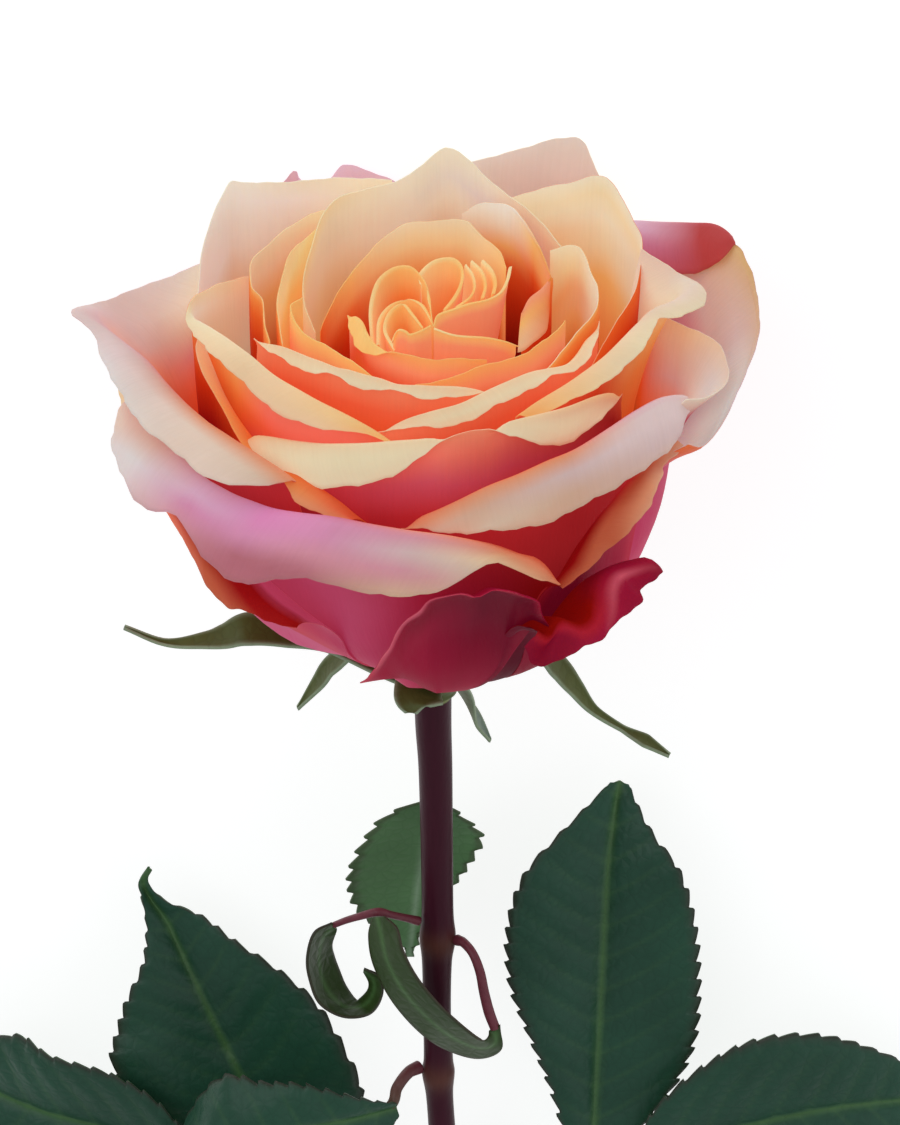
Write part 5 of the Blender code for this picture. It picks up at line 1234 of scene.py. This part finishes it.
    def core(self) -> Skin:
        """The dark mass of packed petal roots: an outline of radius and height turned about the axis."""
        outline = smooth_curve(np.array(CORE_OUTLINE),
                               np.linspace(0.0, len(CORE_OUTLINE) - 1.0, self.core_rows))
        return turned_skin(outline, self.core_sides, Hue.FLAME, Hue.CRIMSON)

    def build(self) -> None:
        """Make the bloom's pieces, group by group."""
        material = PetalFinish().material("petal")
        numbers = {name: number for number, name in enumerate(CUP_MARKS)}
        for group, names in GROUPS.items():
            skins = [self.cup_petal(numbers[name], name) for name in names]
            Skin.joined(skins).piece(group, Slot.PETALS, material, "bloom")
        heart = [self.curl_petal(self.heart_seed + number, marks)
                 for number, marks in enumerate(HEART_MARKS.values())]
        Skin.joined(heart).piece("petals_heart", Slot.PETALS, material, "bloom")
        back = [self.hidden_petal(self.back_seed + number, LAYERS[name], *sizes)
                for number, (name, sizes) in enumerate(BACK_PETALS.items())]
        Skin.joined(back + [self.core()]).piece("petals_under", Slot.PETALS, material, "bloom")


def turned_skin(outline: np.ndarray, sides: int, top: Hue, bottom: Hue) -> Skin:
    """A closed solid turned about the bloom's axis, laid down in the room.

    Args:
        outline: Radius and height, from the upper end on the axis to the lower one.
        sides: Points round it.
        top: Hue of its upper end.
        bottom: Hue of its lower end.

    Returns:
        The skin.
    """
    inner = outline[1:-1]
    turn = np.linspace(0.0, 2.0 * math.pi, sides, endpoint=False)
    rings = np.stack([inner[:, 0, None] * np.cos(turn), inner[:, 0, None] * np.sin(turn),
                      np.repeat(inner[:, 1, None], sides, axis=1)], axis=-1)
    share = np.linspace(0.0, 1.0, len(inner))[:, None]
    tint = top.linear * (1.0 - share) + bottom.linear * share
    return Skin.tube(rings, tint).laid()


@dataclass
class Calyx:
    """The hip under the bloom and its five sepals."""

    thickness: float = 0.5
    columns: int = 13
    rows: int = 60
    keel: float = 0.35
    keel_way: Triple = (0.0, 0.35, 0.94)
    rim_steepness: float = 4.0
    hip_rows: int = 30
    hip_sides: int = 40

    def sepal(self, marks: Sequence[Station], half_widths: Sequence[float]) -> Skin:
        """A narrow keeled blade along its middle line.

        Args:
            marks: Pixels and distances in front of the axis along the middle line.
            half_widths: Half the blade's width at each mark.

        Returns:
            The sepal's skin, laid down.
        """
        points = VIEW.points(marks)
        places = np.linspace(0.0, len(points) - 1.0, self.rows)
        middle = smooth_curve(points, places)
        half = np.interp(places, np.arange(len(points)), half_widths)
        along = np.gradient(middle, axis=0)
        along /= np.linalg.norm(along, axis=1, keepdims=True)
        across = np.cross(along, np.array(self.keel_way))
        across /= np.linalg.norm(across, axis=1, keepdims=True)
        keel = np.cross(along, across)
        keel *= np.sign(keel[:, 2:3])
        share = np.linspace(-1.0, 1.0, self.columns)[None, :, None]
        grid = (middle[:, None] + across[:, None] * share * half[:, None, None]
                + keel[:, None] * self.keel * share ** 2)
        edge = np.abs(share[..., 0]) * np.ones((len(places), 1))
        rim = smooth_step((edge - 1.0) * self.rim_steepness + 1.0)[..., None]
        over = blended(Hue.SEPAL, Hue.SEPAL_RIM, rim)
        under = blended(Hue.SEPAL_BACK, Hue.SEPAL_RIM, rim)
        return laid_blade(grid, 0.5 * self.thickness, over, under)

    def build(self) -> None:
        """Make the calyx as one piece."""
        outline = smooth_curve(np.array(HIP_OUTLINE), np.linspace(0.0, len(HIP_OUTLINE) - 1.0, self.hip_rows))
        skins = [turned_skin(outline, self.hip_sides, Hue.SEPAL, Hue.SEPAL)]
        skins += [self.sepal(marks, widths) for marks, widths in SEPALS.values()]
        finish = GreenFinish(roughness=0.55, coat=0.0)
        Skin.joined(skins).piece("calyx_sepals", Slot.SEPALS, finish.material("sepal"), "calyx")


@dataclass
class Stem:
    """The smooth dark stem with its swollen nodes."""

    sides: int = 40
    rings: int = 320
    node_reach: float = 2.4

    def build(self) -> None:
        """Make the stem as one closed tube: rings along a smooth course."""
        course = np.array(STEM_COURSE)
        side, height, thick = smooth_curve(course, np.linspace(0.0, len(course) - 1.0, self.rings)).T
        path = np.stack([side, 0.0 * side, height], axis=1)
        rings = ring_tube(path, thick, self.sides)
        node = sum(np.exp(-((height - place) / self.node_reach) ** 2) for place in STEM_NODES)
        tint = blended(Hue.STEM, Hue.STEM_NODE, np.clip(node, 0.0, 1.0)[:, None])
        tint[:2] = Hue.STEM_CUT.linear
        tint[-2:] = Hue.STEM_CUT.linear
        skin = Skin.tube(rings, tint).laid()
        skin.piece("stem_bark", Slot.STEM, BarkFinish().material("bark"), "stem")


@dataclass
class LeafBlade:
    """A rose leaflet: saw-toothed, with a sunken rib and side veins that the blade puffs up between."""

    thickness: float = 0.4
    half_columns: int = 15
    row_length: float = 0.42
    tooth_length: float = 3.1
    tooth_depth: float = 1.0
    tooth_front: float = 0.8
    tooth_full: float = 5.0
    tooth_root: float = 0.45
    tooth_lean: float = 0.7
    vein_gap: float = 5.6
    vein_slant: float = 0.55
    vein_curve: float = 0.016
    vein_width: float = 0.42
    rib_width: float = 0.7
    rib_depth: float = 0.9
    puff: float = 0.24
    wave: float = 0.25
    wave_length: float = 5.0
    bow: Triple = (0.0, 0.024, 0.0144)
    rim_paint: float = 0.6
    seed: int = 300

    def skin(self, stations: Sequence[Sequence[Any]], number: int) -> Skin:
        """A leaflet from its stations.

        The side veins run where length along the rib - vein_slant * width - vein_curve * width squared is a
        whole number of vein gaps, and the blade rises between them with the square of a sine.

        Args:
            stations: The left edge, the rib and the right edge as pixels, the rib's distance in front of the
                axis and the edges' own, from base to tip.
            number: The leaflet's number, which sets its own phases.

        Returns:
            The leaflet's skin, laid down.
        """
        draw = np.random.default_rng(self.seed + number)
        lines = [VIEW.points([(*row[part], row[depth]) for row in stations])
                 for part, depth in ((0, 4), (1, 3), (2, 4))]
        length = np.linalg.norm(np.diff(lines[1], axis=0), axis=1).sum()
        places = even_places(lines[1], int(length / self.row_length))
        left, middle, right = (smooth_curve(line, places) for line in lines)
        walked = walked_lengths(middle[:, None], 0)[:, 0]
        share = np.linspace(-1.0, 1.0, 2 * self.half_columns + 1)
        edge = np.abs(share)[None, :, None]
        side = np.where(share[None, :, None] < 0.0, left[:, None], right[:, None])
        bow = np.linalg.norm(left - right, axis=1)[:, None, None] * np.array(self.bow)
        grid = middle[:, None] + edge * (side - middle[:, None]) + 4.0 * edge * (1.0 - edge) * bow
        width = np.linalg.norm(side - middle[:, None], axis=-1) * np.abs(share)
        full = np.linalg.norm(side - middle[:, None], axis=-1)
        phase = np.where(share < 0.0, draw.uniform(0.0, 1.0), draw.uniform(0.0, 1.0))
        stretch = 1.0 + 0.25 * np.sin(walked / 9.0 + draw.uniform(0.0, 6.0))
        tooth = walked / self.tooth_length * stretch.mean() + 0.35 * stretch
        saw = (tooth[:, None] + phase) % 1.0
        back = (1.0 - saw) / (1.0 - self.tooth_front)
        bite = np.where(saw < self.tooth_front, (saw / self.tooth_front) ** 0.8, back)
        grown = np.clip(full / self.tooth_full, 0.0, 1.0)
        reach = self.tooth_depth * grown * (bite - self.tooth_root) * edge[..., 0] ** 7
        outward = (side - middle[:, None]) / np.maximum(full[..., None], 0.01)
        forward = np.gradient(side, axis=0)
        forward /= np.maximum(np.linalg.norm(forward, axis=-1, keepdims=True), 0.01)
        grid = grid + reach[..., None] * (outward + self.tooth_lean * forward)
        course = walked[:, None] - self.vein_slant * width - self.vein_curve * width ** 2
        vein_place = course / self.vein_gap + phase
        between = np.sin(math.pi * vein_place) ** 2
        fading = smooth_step(width / 2.0) * (1.0 - edge[..., 0] ** 6)
        rib = np.exp(-(width / self.rib_width) ** 2)
        height = self.puff * (between * fading - self.rib_depth * rib)
        ripple = np.sin(walked / self.wave_length + draw.uniform(0, 6))[:, None]
        height = height + self.wave * ripple * edge[..., 0] ** 3
        normal = grid_normals(grid)
        if POSE.turn(normal)[..., 2].sum() < 0.0:
            normal = -normal
        grid = grid + normal * height[..., None]
        line = np.exp(-(np.abs((vein_place + 0.5) % 1.0 - 0.5) * self.vein_gap / self.vein_width) ** 2)
        vein = np.clip(rib * 0.9 + 0.2 * line * (1.0 - edge[..., 0] ** 3), 0.0, 1.0)
        over = blended(Hue.LEAF, Hue.LEAF_VEIN, (vein * 0.8)[..., None])
        under = blended(Hue.LEAF_BACK, Hue.LEAF_VEIN, vein[..., None])
        margin = smooth_step((edge - 0.9) * 10.0)
        over = over * (1.0 - self.rim_paint * margin) + Hue.LEAF_RIM.linear * self.rim_paint * margin
        return laid_blade(grid, 0.5 * self.thickness, over, under)


@dataclass
class Stalk:
    """A round leaf stalk."""

    sides: int = 20
    rings_per_mark: int = 14

    def skin(self, marks: Sequence[Station], start: Hue, end: Hue) -> Skin:
        """A tube along marks that hold pixel, distance in front of the axis and radius."""
        marks = np.array(marks)
        places = np.linspace(0.0, len(marks) - 1.0, self.rings_per_mark * len(marks))
        path = smooth_curve(VIEW.points(marks[:, :3]), places)
        radii = np.interp(places, np.arange(len(marks)), marks[:, 3])
        share = np.linspace(0.0, 1.0, len(places))[:, None]
        return Skin.tube(ring_tube(path, radii, self.sides), blended(start, end, share)).laid()


@dataclass
class NarrowBlade:
    """A curled bract or a small simple leaf: three lines along it, joined across by a parabola."""

    half_columns: int = 9
    rows: int = 150
    thickness: float = 0.4
    tooth_depth: float = 0.0
    tooth_length: float = 3.0
    tooth_front: float = 0.8
    rib_width: float = 0.55
    rib_paint: float = 0.7
    rim_paint: float = 0.5

    def skin(self, stations: Sequence[Sequence[Any]], over: Hue, under: Hue, vein_hue: Hue) -> Skin:
        """The blade from its stations.

        Args:
            stations: Middle pixel with distance in front of the axis, and the offsets of both edges.
            over: Hue of the face that the room's light falls on at the base.
            under: Hue of the other face.
            vein_hue: Hue of its rib.

        Returns:
            The blade's skin, laid down.
        """
        middle = np.array([row[0] for row in stations], dtype=float)
        marks = [middle + np.array([row[part] for row in stations], dtype=float) for part in (1, 2)]
        places = even_places(VIEW.points(middle), self.rows)
        centre = smooth_curve(VIEW.points(middle), places)
        left, right = (smooth_curve(VIEW.points(line), places) for line in marks)
        share = np.linspace(-1.0, 1.0, 2 * self.half_columns + 1)[None, :, None]
        lean = 0.5 * (right - left)[:, None]
        sag = (0.5 * (right + left) - centre)[:, None]
        grid = centre[:, None] + share * lean + share ** 2 * sag
        walked = walked_lengths(centre[:, None], 0)
        edge = np.abs(share[..., 0]) * np.ones((self.rows, 1))
        saw = (walked / self.tooth_length) % 1.0
        back = (1.0 - saw) / (1.0 - self.tooth_front)
        bite = np.where(saw < self.tooth_front, saw / self.tooth_front, back) - 0.4
        grid = grid + (self.tooth_depth * bite * edge ** 7)[..., None] * np.sign(share) * (
            lean / np.maximum(np.linalg.norm(lean, axis=-1, keepdims=True), 0.01))
        rib = np.exp(-(edge * np.linalg.norm(lean, axis=-1) / self.rib_width) ** 2)
        tints = [blended(hue, vein_hue, (self.rib_paint * rib)[..., None]) for hue in (over, under)]
        rim = smooth_step((edge - 0.85) * 8.0)[..., None]
        paint = self.rim_paint * rim
        over_tint, under_tint = (tint * (1.0 - paint) + Hue.LEAF_RIM.linear * paint for tint in tints)
        return laid_blade(grid, 0.5 * self.thickness, over_tint, under_tint)


def blended(first: Hue, second: Hue, share: np.ndarray) -> np.ndarray:
    """Linear colours between two hues."""
    return first.linear * (1.0 - share) + second.linear * share


def laid_blade(grid: np.ndarray, half: float, over: np.ndarray, under: np.ndarray) -> Skin:
    """A blade laid down in the room, kept above the floor, with its upper face's colours on the upper face.

    Args:
        grid: Middle points in the bloom's frame.
        half: Half its thickness.
        over: Colours of the face that looks up.
        under: Colours of the face that looks down.

    Returns:
        The skin.
    """
    room = POSE.lay(grid)
    half = half * METRES * np.ones(grid.shape[:2])
    room[..., 2] = np.maximum(room[..., 2], half)
    upward = bool(grid_normals(room)[..., 2].sum() > 0.0)
    return Skin.blade(room, half, (over, under) if upward else (under, over)).turned_out()


class Foliage:
    """The two compound leaves, the small leaf behind the stem and the two bracts."""

    def build(self) -> None:
        """Make each as one piece."""
        leaf = GreenFinish().material("leaf")
        stalk = Stalk()
        number = 0
        for name, parts in LEAF_PARTS.items():
            skins = [stalk.skin(marks, Hue.STALK, Hue.STALK_GREEN) for marks in STALKS[name]]
            for part in parts:
                number += 1
                skins.append(LeafBlade().skin(LEAFLETS[part], number))
            Skin.joined(skins).piece(name + "_blades", Slot.LEAVES, leaf, name)
        young = GreenFinish(roughness=0.6, coat=0.0).material("young_leaf")
        behind = NarrowBlade(half_columns=15, rows=160, tooth_depth=1.2)
        skins = [stalk.skin(marks, Hue.STALK, Hue.YOUNG) for marks in STALKS["leaf_back"]]
        skins.append(behind.skin(BRACTS["leaf_back"], Hue.YOUNG, Hue.YOUNG, Hue.YOUNG_VEIN))
        Skin.joined(skins).piece("leaf_back_blade", Slot.YOUNG_LEAF, young, "leaf_back")
        hues = {"bract_left": (Hue.BRACT, Hue.BRACT_DARK), "bract_right": (Hue.BRACT, Hue.BRACT_OLIVE)}
        for name, (over, under) in hues.items():
            skins = [stalk.skin(marks, Hue.STALK, Hue.STALK) for marks in STALKS[name]]
            skins.append(NarrowBlade().skin(BRACTS[name], over, under, Hue.LEAF_VEIN))
            Skin.joined(skins).piece(name + "_blade", Slot.BRACTS, leaf, name)


class Wire:
    """A shader socket that takes part in sums: each operator adds the node that works it out."""

    def __init__(self, sheet: "ShaderSheet", socket: bpy.types.NodeSocket) -> None:
        """Keep the socket and the sheet that it belongs to."""
        self.sheet = sheet
        self.socket = socket

    def _value(self, operation: str, first: Any, second: Any) -> "Wire":
        """A Math node on two values."""
        return self.sheet.node("ShaderNodeMath", {"operation": operation}, {0: first, 1: second})

    def __add__(self, other: Any) -> "Wire":
        """This value and another one."""
        return self._value("ADD", self, other)

    def __radd__(self, other: Any) -> "Wire":
        """Another value and this one."""
        return self._value("ADD", other, self)

    def __sub__(self, other: Any) -> "Wire":
        """This value less another one."""
        return self._value("SUBTRACT", self, other)

    def __mul__(self, other: Any) -> "Wire":
        """This value times another one."""
        return self._value("MULTIPLY", self, other)

    def __pow__(self, other: Any) -> "Wire":
        """This value to a power."""
        return self._value("POWER", self, other)

    def scaled(self, by: Triple) -> "Wire":
        """This vector times another one, number by number."""
        return self.sheet.node("ShaderNodeVectorMath", {"operation": "MULTIPLY"}, {0: self, 1: by})

    def darkened(self, other: "Wire", share: float = 1.0) -> "Wire":
        """This colour multiplied by another one, as far as the share says."""
        return self.sheet.node("ShaderNodeMix", {"data_type": "RGBA", "blend_type": "MULTIPLY"},
                               {"Factor_Float": share, "A_Color": self, "B_Color": other}, "Result_Color")


class ShaderSheet:
    """A material's node tree."""

    def __init__(self, name: str) -> None:
        """Start an empty tree with its output."""
        self.material = bpy.data.materials.new(name)
        self.material.use_nodes = True
        self.tree = self.material.node_tree
        self.tree.nodes.clear()
        self.output = self.tree.nodes.new("ShaderNodeOutputMaterial")

    def node(self, kind: str, settings: Optional[Dict[str, Any]] = None,
             sockets: Optional[Dict[Union[int, str], Any]] = None, output: Union[int, str] = 0) -> Wire:
        """Any node: its settings first, then its sockets.

        Args:
            kind: The node's type.
            settings: Properties; stops is a list of place and colour for a ramp.
            sockets: Values or wires by the socket's number, name or identifier.
            output: Which output to return.

        Returns:
            The output's wire.
        """
        node = self.tree.nodes.new(kind)
        for name, value in (settings or {}).items():
            if name == "stops":
                self._stops(node.color_ramp, value)
            else:
                setattr(node, name, value)
        for key, value in (sockets or {}).items():
            socket = self._socket(node.inputs, key)
            if isinstance(value, Wire):
                self.tree.links.new(value.socket, socket)
            else:
                socket.default_value = value
        return Wire(self, self._socket(node.outputs, output))

    @staticmethod
    def _stops(ramp: bpy.types.ColorRamp, stops: Sequence[Tuple[float, float]]) -> None:
        """Give a ramp its places and grey values."""
        while len(ramp.elements) < len(stops):
            ramp.elements.new(1.0)
        for element, (place, grey) in zip(ramp.elements, stops):
            element.position = place
            element.color = (grey, grey, grey, 1.0)

    @staticmethod
    def _socket(sockets: Any, key: Union[int, str]) -> bpy.types.NodeSocket:
        """A socket by number, identifier or name."""
        if isinstance(key, int):
            return sockets[key]
        for socket in sockets:
            if socket.identifier == key:
                return socket
        return sockets[key]

    def paint(self) -> Wire:
        """The colour that is kept on each point of the piece."""
        return self.node("ShaderNodeAttribute", {"attribute_name": "tint"}, {}, "Color")

    def shaded(self, *shades: Wire) -> Wire:
        """The kept colour with its red, green and blue each multiplied by a shade."""
        return self.paint().darkened(self.node("ShaderNodeCombineColor", {}, dict(enumerate(shades))))

    def weave(self) -> Wire:
        """Millimetres across and along the piece."""
        return self.node("ShaderNodeUVMap", {"uv_map": "weave"})

    def place(self) -> Wire:
        """Place on the object, in metres."""
        return self.node("ShaderNodeTexCoord", {}, {}, "Object")

    def noise(self, vector: Wire, scale: float, detail: float = 2.0) -> Wire:
        """Soft noise from 0 to 1."""
        return self.node("ShaderNodeTexNoise", {}, {"Vector": vector, "Scale": scale, "Detail": detail},
                         "Fac")

    def bump(self, height: Wire, strength: float, distance: float) -> Wire:
        """A normal bent by a height."""
        return self.node("ShaderNodeBump", {}, {"Height": height, "Strength": strength, "Distance": distance})

    def finish(self, sockets: Dict[str, Any]) -> bpy.types.Material:
        """Close the tree with a Principled shader and return the material."""
        shader = self.node("ShaderNodeBsdfPrincipled", {}, sockets)
        self.tree.links.new(shader.socket, self.output.inputs["Surface"])
        return self.material


@dataclass(frozen=True)
class PetalFinish:
    """Soft, thin, faintly veined petals that let a little light through, and glow faintly with painted light
    of their own colour.
    """

    roughness: float = 0.52
    streak: float = 0.035
    mottle: float = 0.09
    glow: float = 0.14
    # Strength of the petals' painted glow: emission of their own colour that lightens their shade, though
    # they are no lamp.
    painted_glow: float = 0.32
    green_power: float = 1.15
    blue_power: float = 1.3
    streak_weave: Triple = (1.9, 0.09, 1.0)
    fine_weave: Triple = (5.5, 0.25, 1.0)
    cloud_scale: float = 90.0
    bump: float = 0.25
    relief: float = 0.0004

    def material(self, name: str) -> bpy.types.Material:
        """The petals' material: painted fades, fine streaks along each petal, soft mottling, and a painted
        glow of the same colour.
        """
        sheet = ShaderSheet(name)
        weave = sheet.weave()
        streaks = sheet.noise(weave.scaled(self.streak_weave), 1.0, 3.0)
        fine = sheet.noise(weave.scaled(self.fine_weave), 1.0, 2.0)
        clouds = sheet.noise(sheet.place(), self.cloud_scale, 3.0)
        shade = 1.0 + (streaks - 0.5) * (2.0 * self.streak) + (clouds - 0.5) * (2.0 * self.mottle)
        colour = sheet.shaded(shade, shade ** self.green_power, shade ** self.blue_power)
        normal = sheet.bump(streaks * 0.6 + fine * 0.25, self.bump, self.relief)
        # Emission of each point's own colour: a painted glow that lightens the petals' shade.
        return sheet.finish({
            "Base Color": colour, "Roughness": self.roughness, "Normal": normal, "Specular IOR Level": 0.03,
            "Subsurface Weight": self.glow, "Subsurface Radius": (1.0, 0.45, 0.25), "Subsurface Scale": 0.004,
            "Emission Color": colour, "Emission Strength": self.painted_glow})


@dataclass(frozen=True)
class GreenFinish:
    """Leaf skin: deep green, with a net of fine veins, a soft sheen, and clouds of lighter green that are
    partly random tone and partly painted sheen.
    """

    roughness: float = 0.42
    coat: float = 0.05
    net: float = 520.0
    net_depth: float = 0.09
    cloud_scale: float = 60.0
    # How far clouds lighten the green: partly random tone, partly painted sheen.
    mottle: float = 0.84
    least: float = 0.68
    rough_mottle: float = 0.12
    bump: float = 0.14
    relief: float = 0.0005

    def material(self, name: str) -> bpy.types.Material:
        """The leaves' material: painted greens, clouds that are partly painted sheen, and a raised net
        between the side veins.
        """
        sheet = ShaderSheet(name)
        place = sheet.place()
        clouds = sheet.noise(place, self.cloud_scale, 4.0)
        cells = sheet.node("ShaderNodeTexVoronoi", {"feature": "DISTANCE_TO_EDGE"},
                           {"Vector": place, "Scale": self.net}, "Distance")
        net = sheet.node("ShaderNodeValToRGB", {"stops": ((0.0, 0.0), (0.12, 1.0))}, {"Fac": cells}, "Color")
        # Lighter clouds over the green: partly random tone, partly painted sheen.
        shade = self.least + clouds * self.mottle
        colour = sheet.shaded(shade, shade, shade).darkened(net, self.net_depth)
        normal = sheet.bump(cells * 3.0 + clouds * 0.4, self.bump, self.relief)
        rough = self.roughness + (clouds - 0.5) * self.rough_mottle
        return sheet.finish({"Base Color": colour, "Roughness": rough, "Normal": normal,
                             "Specular IOR Level": 0.3, "Coat Weight": self.coat, "Coat Roughness": 0.35})


@dataclass(frozen=True)
class BarkFinish:
    """Smooth dark maroon bark with faint lengthwise streaks."""

    roughness: float = 0.42
    streak_scale: Triple = (1500.0, 60.0, 1500.0)
    cloud_scale: float = 140.0
    least: float = 0.7
    streak: float = 0.35
    mottle: float = 0.25
    bump: float = 0.2
    relief: float = 0.0003

    def material(self, name: str) -> bpy.types.Material:
        """The stem's material."""
        sheet = ShaderSheet(name)
        streaks = sheet.noise(sheet.place().scaled(self.streak_scale), 1.0, 3.0)
        clouds = sheet.noise(sheet.place(), self.cloud_scale, 3.0)
        shade = self.least + streaks * self.streak + clouds * self.mottle
        colour = sheet.shaded(shade, shade, shade)
        normal = sheet.bump(streaks + clouds, self.bump, self.relief)
        return sheet.finish({"Base Color": colour, "Roughness": self.roughness, "Normal": normal,
                             "Specular IOR Level": 0.15})


@dataclass(frozen=True)
class FloorFinish:
    """Plain white floor, a little self-lit so that its shadows stay pale."""

    grey: float = 0.4
    glow: float = 0.8

    def material(self, name: str) -> bpy.types.Material:
        """The floor's material."""
        sheet = ShaderSheet(name)
        return sheet.finish({"Base Color": (self.grey, self.grey, self.grey, 1.0), "Roughness": 0.9,
                             "Specular IOR Level": 0.1, "Emission Color": (1.0, 1.0, 1.0, 1.0),
                             "Emission Strength": self.glow})


@dataclass
class Studio:
    """The floor, the light and the camera."""

    floor_half: float = 3.0
    sky: float = 0.44
    key_power: float = 8.8
    key_size: float = 1.6
    fill_power: float = 3.5
    tint: Triple = (0.92, 0.98, 1.0)
    key_place: Triple = (-0.7, 0.9, 1.5)
    key_target: Triple = (0.0, -0.03, 0.04)
    fill_place: Triple = (1.2, -0.3, 1.2)
    fill_target: Triple = (0.0, -0.05, 0.04)
    sensor: float = 36.0
    far: float = 20.0

    def floor(self) -> None:
        """A wide flat floor at the height that the rose lies on."""
        reach = self.floor_half
        mesh = bpy.data.meshes.new("floor")
        corners = [(side * reach, way * reach, 0.0) for side, way in ((-1, -1), (1, -1), (1, 1), (-1, 1))]
        mesh.from_pydata(corners, [], [(0, 1, 2, 3)])
        mesh.materials.append(FloorFinish().material("floor"))
        thing = bpy.data.objects.new("floor", mesh)
        bpy.context.scene.collection.objects.link(thing)

    def area(self, name: str, place: Triple, target: Triple, size: float, power: float) -> None:
        """A soft square light.

        Args:
            name: Its name.
            place: Where it hangs, in metres.
            target: What it looks at.
            size: Its side, in metres.
            power: Its power, in watts.
        """
        light = bpy.data.lights.new(name, "AREA")
        light.size = size
        light.energy = power
        light.color = self.tint
        thing = bpy.data.objects.new(name, light)
        thing.location = place
        way = Vector(target) - Vector(place)
        thing.rotation_euler = way.to_track_quat("-Z", "Y").to_euler()
        bpy.context.scene.collection.objects.link(thing)

    def camera(self) -> None:
        """A camera where the picture was taken from, whose frame is the picture's."""
        lens = bpy.data.cameras.new("camera")
        lens.sensor_fit = "VERTICAL"
        lens.sensor_height = self.sensor
        lens.lens = lens.sensor_height * VIEW.distance / (VIEW.height * VIEW.pixel)
        lens.clip_end = self.far
        back = Vector(POSE.turn(VIEW.eye - VIEW.focus)).normalized()
        up = Vector(POSE.turn(np.array([0.0, -math.sin(VIEW.rise), math.cos(VIEW.rise)])))
        side = up.cross(back)
        thing = bpy.data.objects.new("camera", lens)
        thing.matrix_world = Matrix.Translation(Vector(POSE.lay(VIEW.eye))) @ Matrix(
            (side, up, back)).transposed().to_4x4()
        bpy.context.scene.collection.objects.link(thing)
        bpy.context.scene.camera = thing

    def build(self) -> None:
        """Set up the room."""
        self.floor()
        self.area("key", self.key_place, self.key_target, self.key_size, self.key_power)
        self.area("fill", self.fill_place, self.fill_target, self.key_size, self.fill_power)
        world = bpy.data.worlds.new("studio")
        world.use_nodes = True
        world.node_tree.nodes["Background"].inputs["Color"].default_value = (*self.tint, 1.0)
        world.node_tree.nodes["Background"].inputs["Strength"].default_value = self.sky
        scene = bpy.context.scene
        scene.world = world
        scene.view_settings.view_transform = "Standard"
        scene.view_settings.look = "None"
        self.camera()


def main() -> None:
    """Build the rose and its room."""
    logging.basicConfig(level=logging.INFO, format="%(name)s: %(message)s")
    Studio().build()
    Bloom().build()
    Calyx().build()
    Stem().build()
    Foliage().build()


if __name__ == "__main__":
    main()
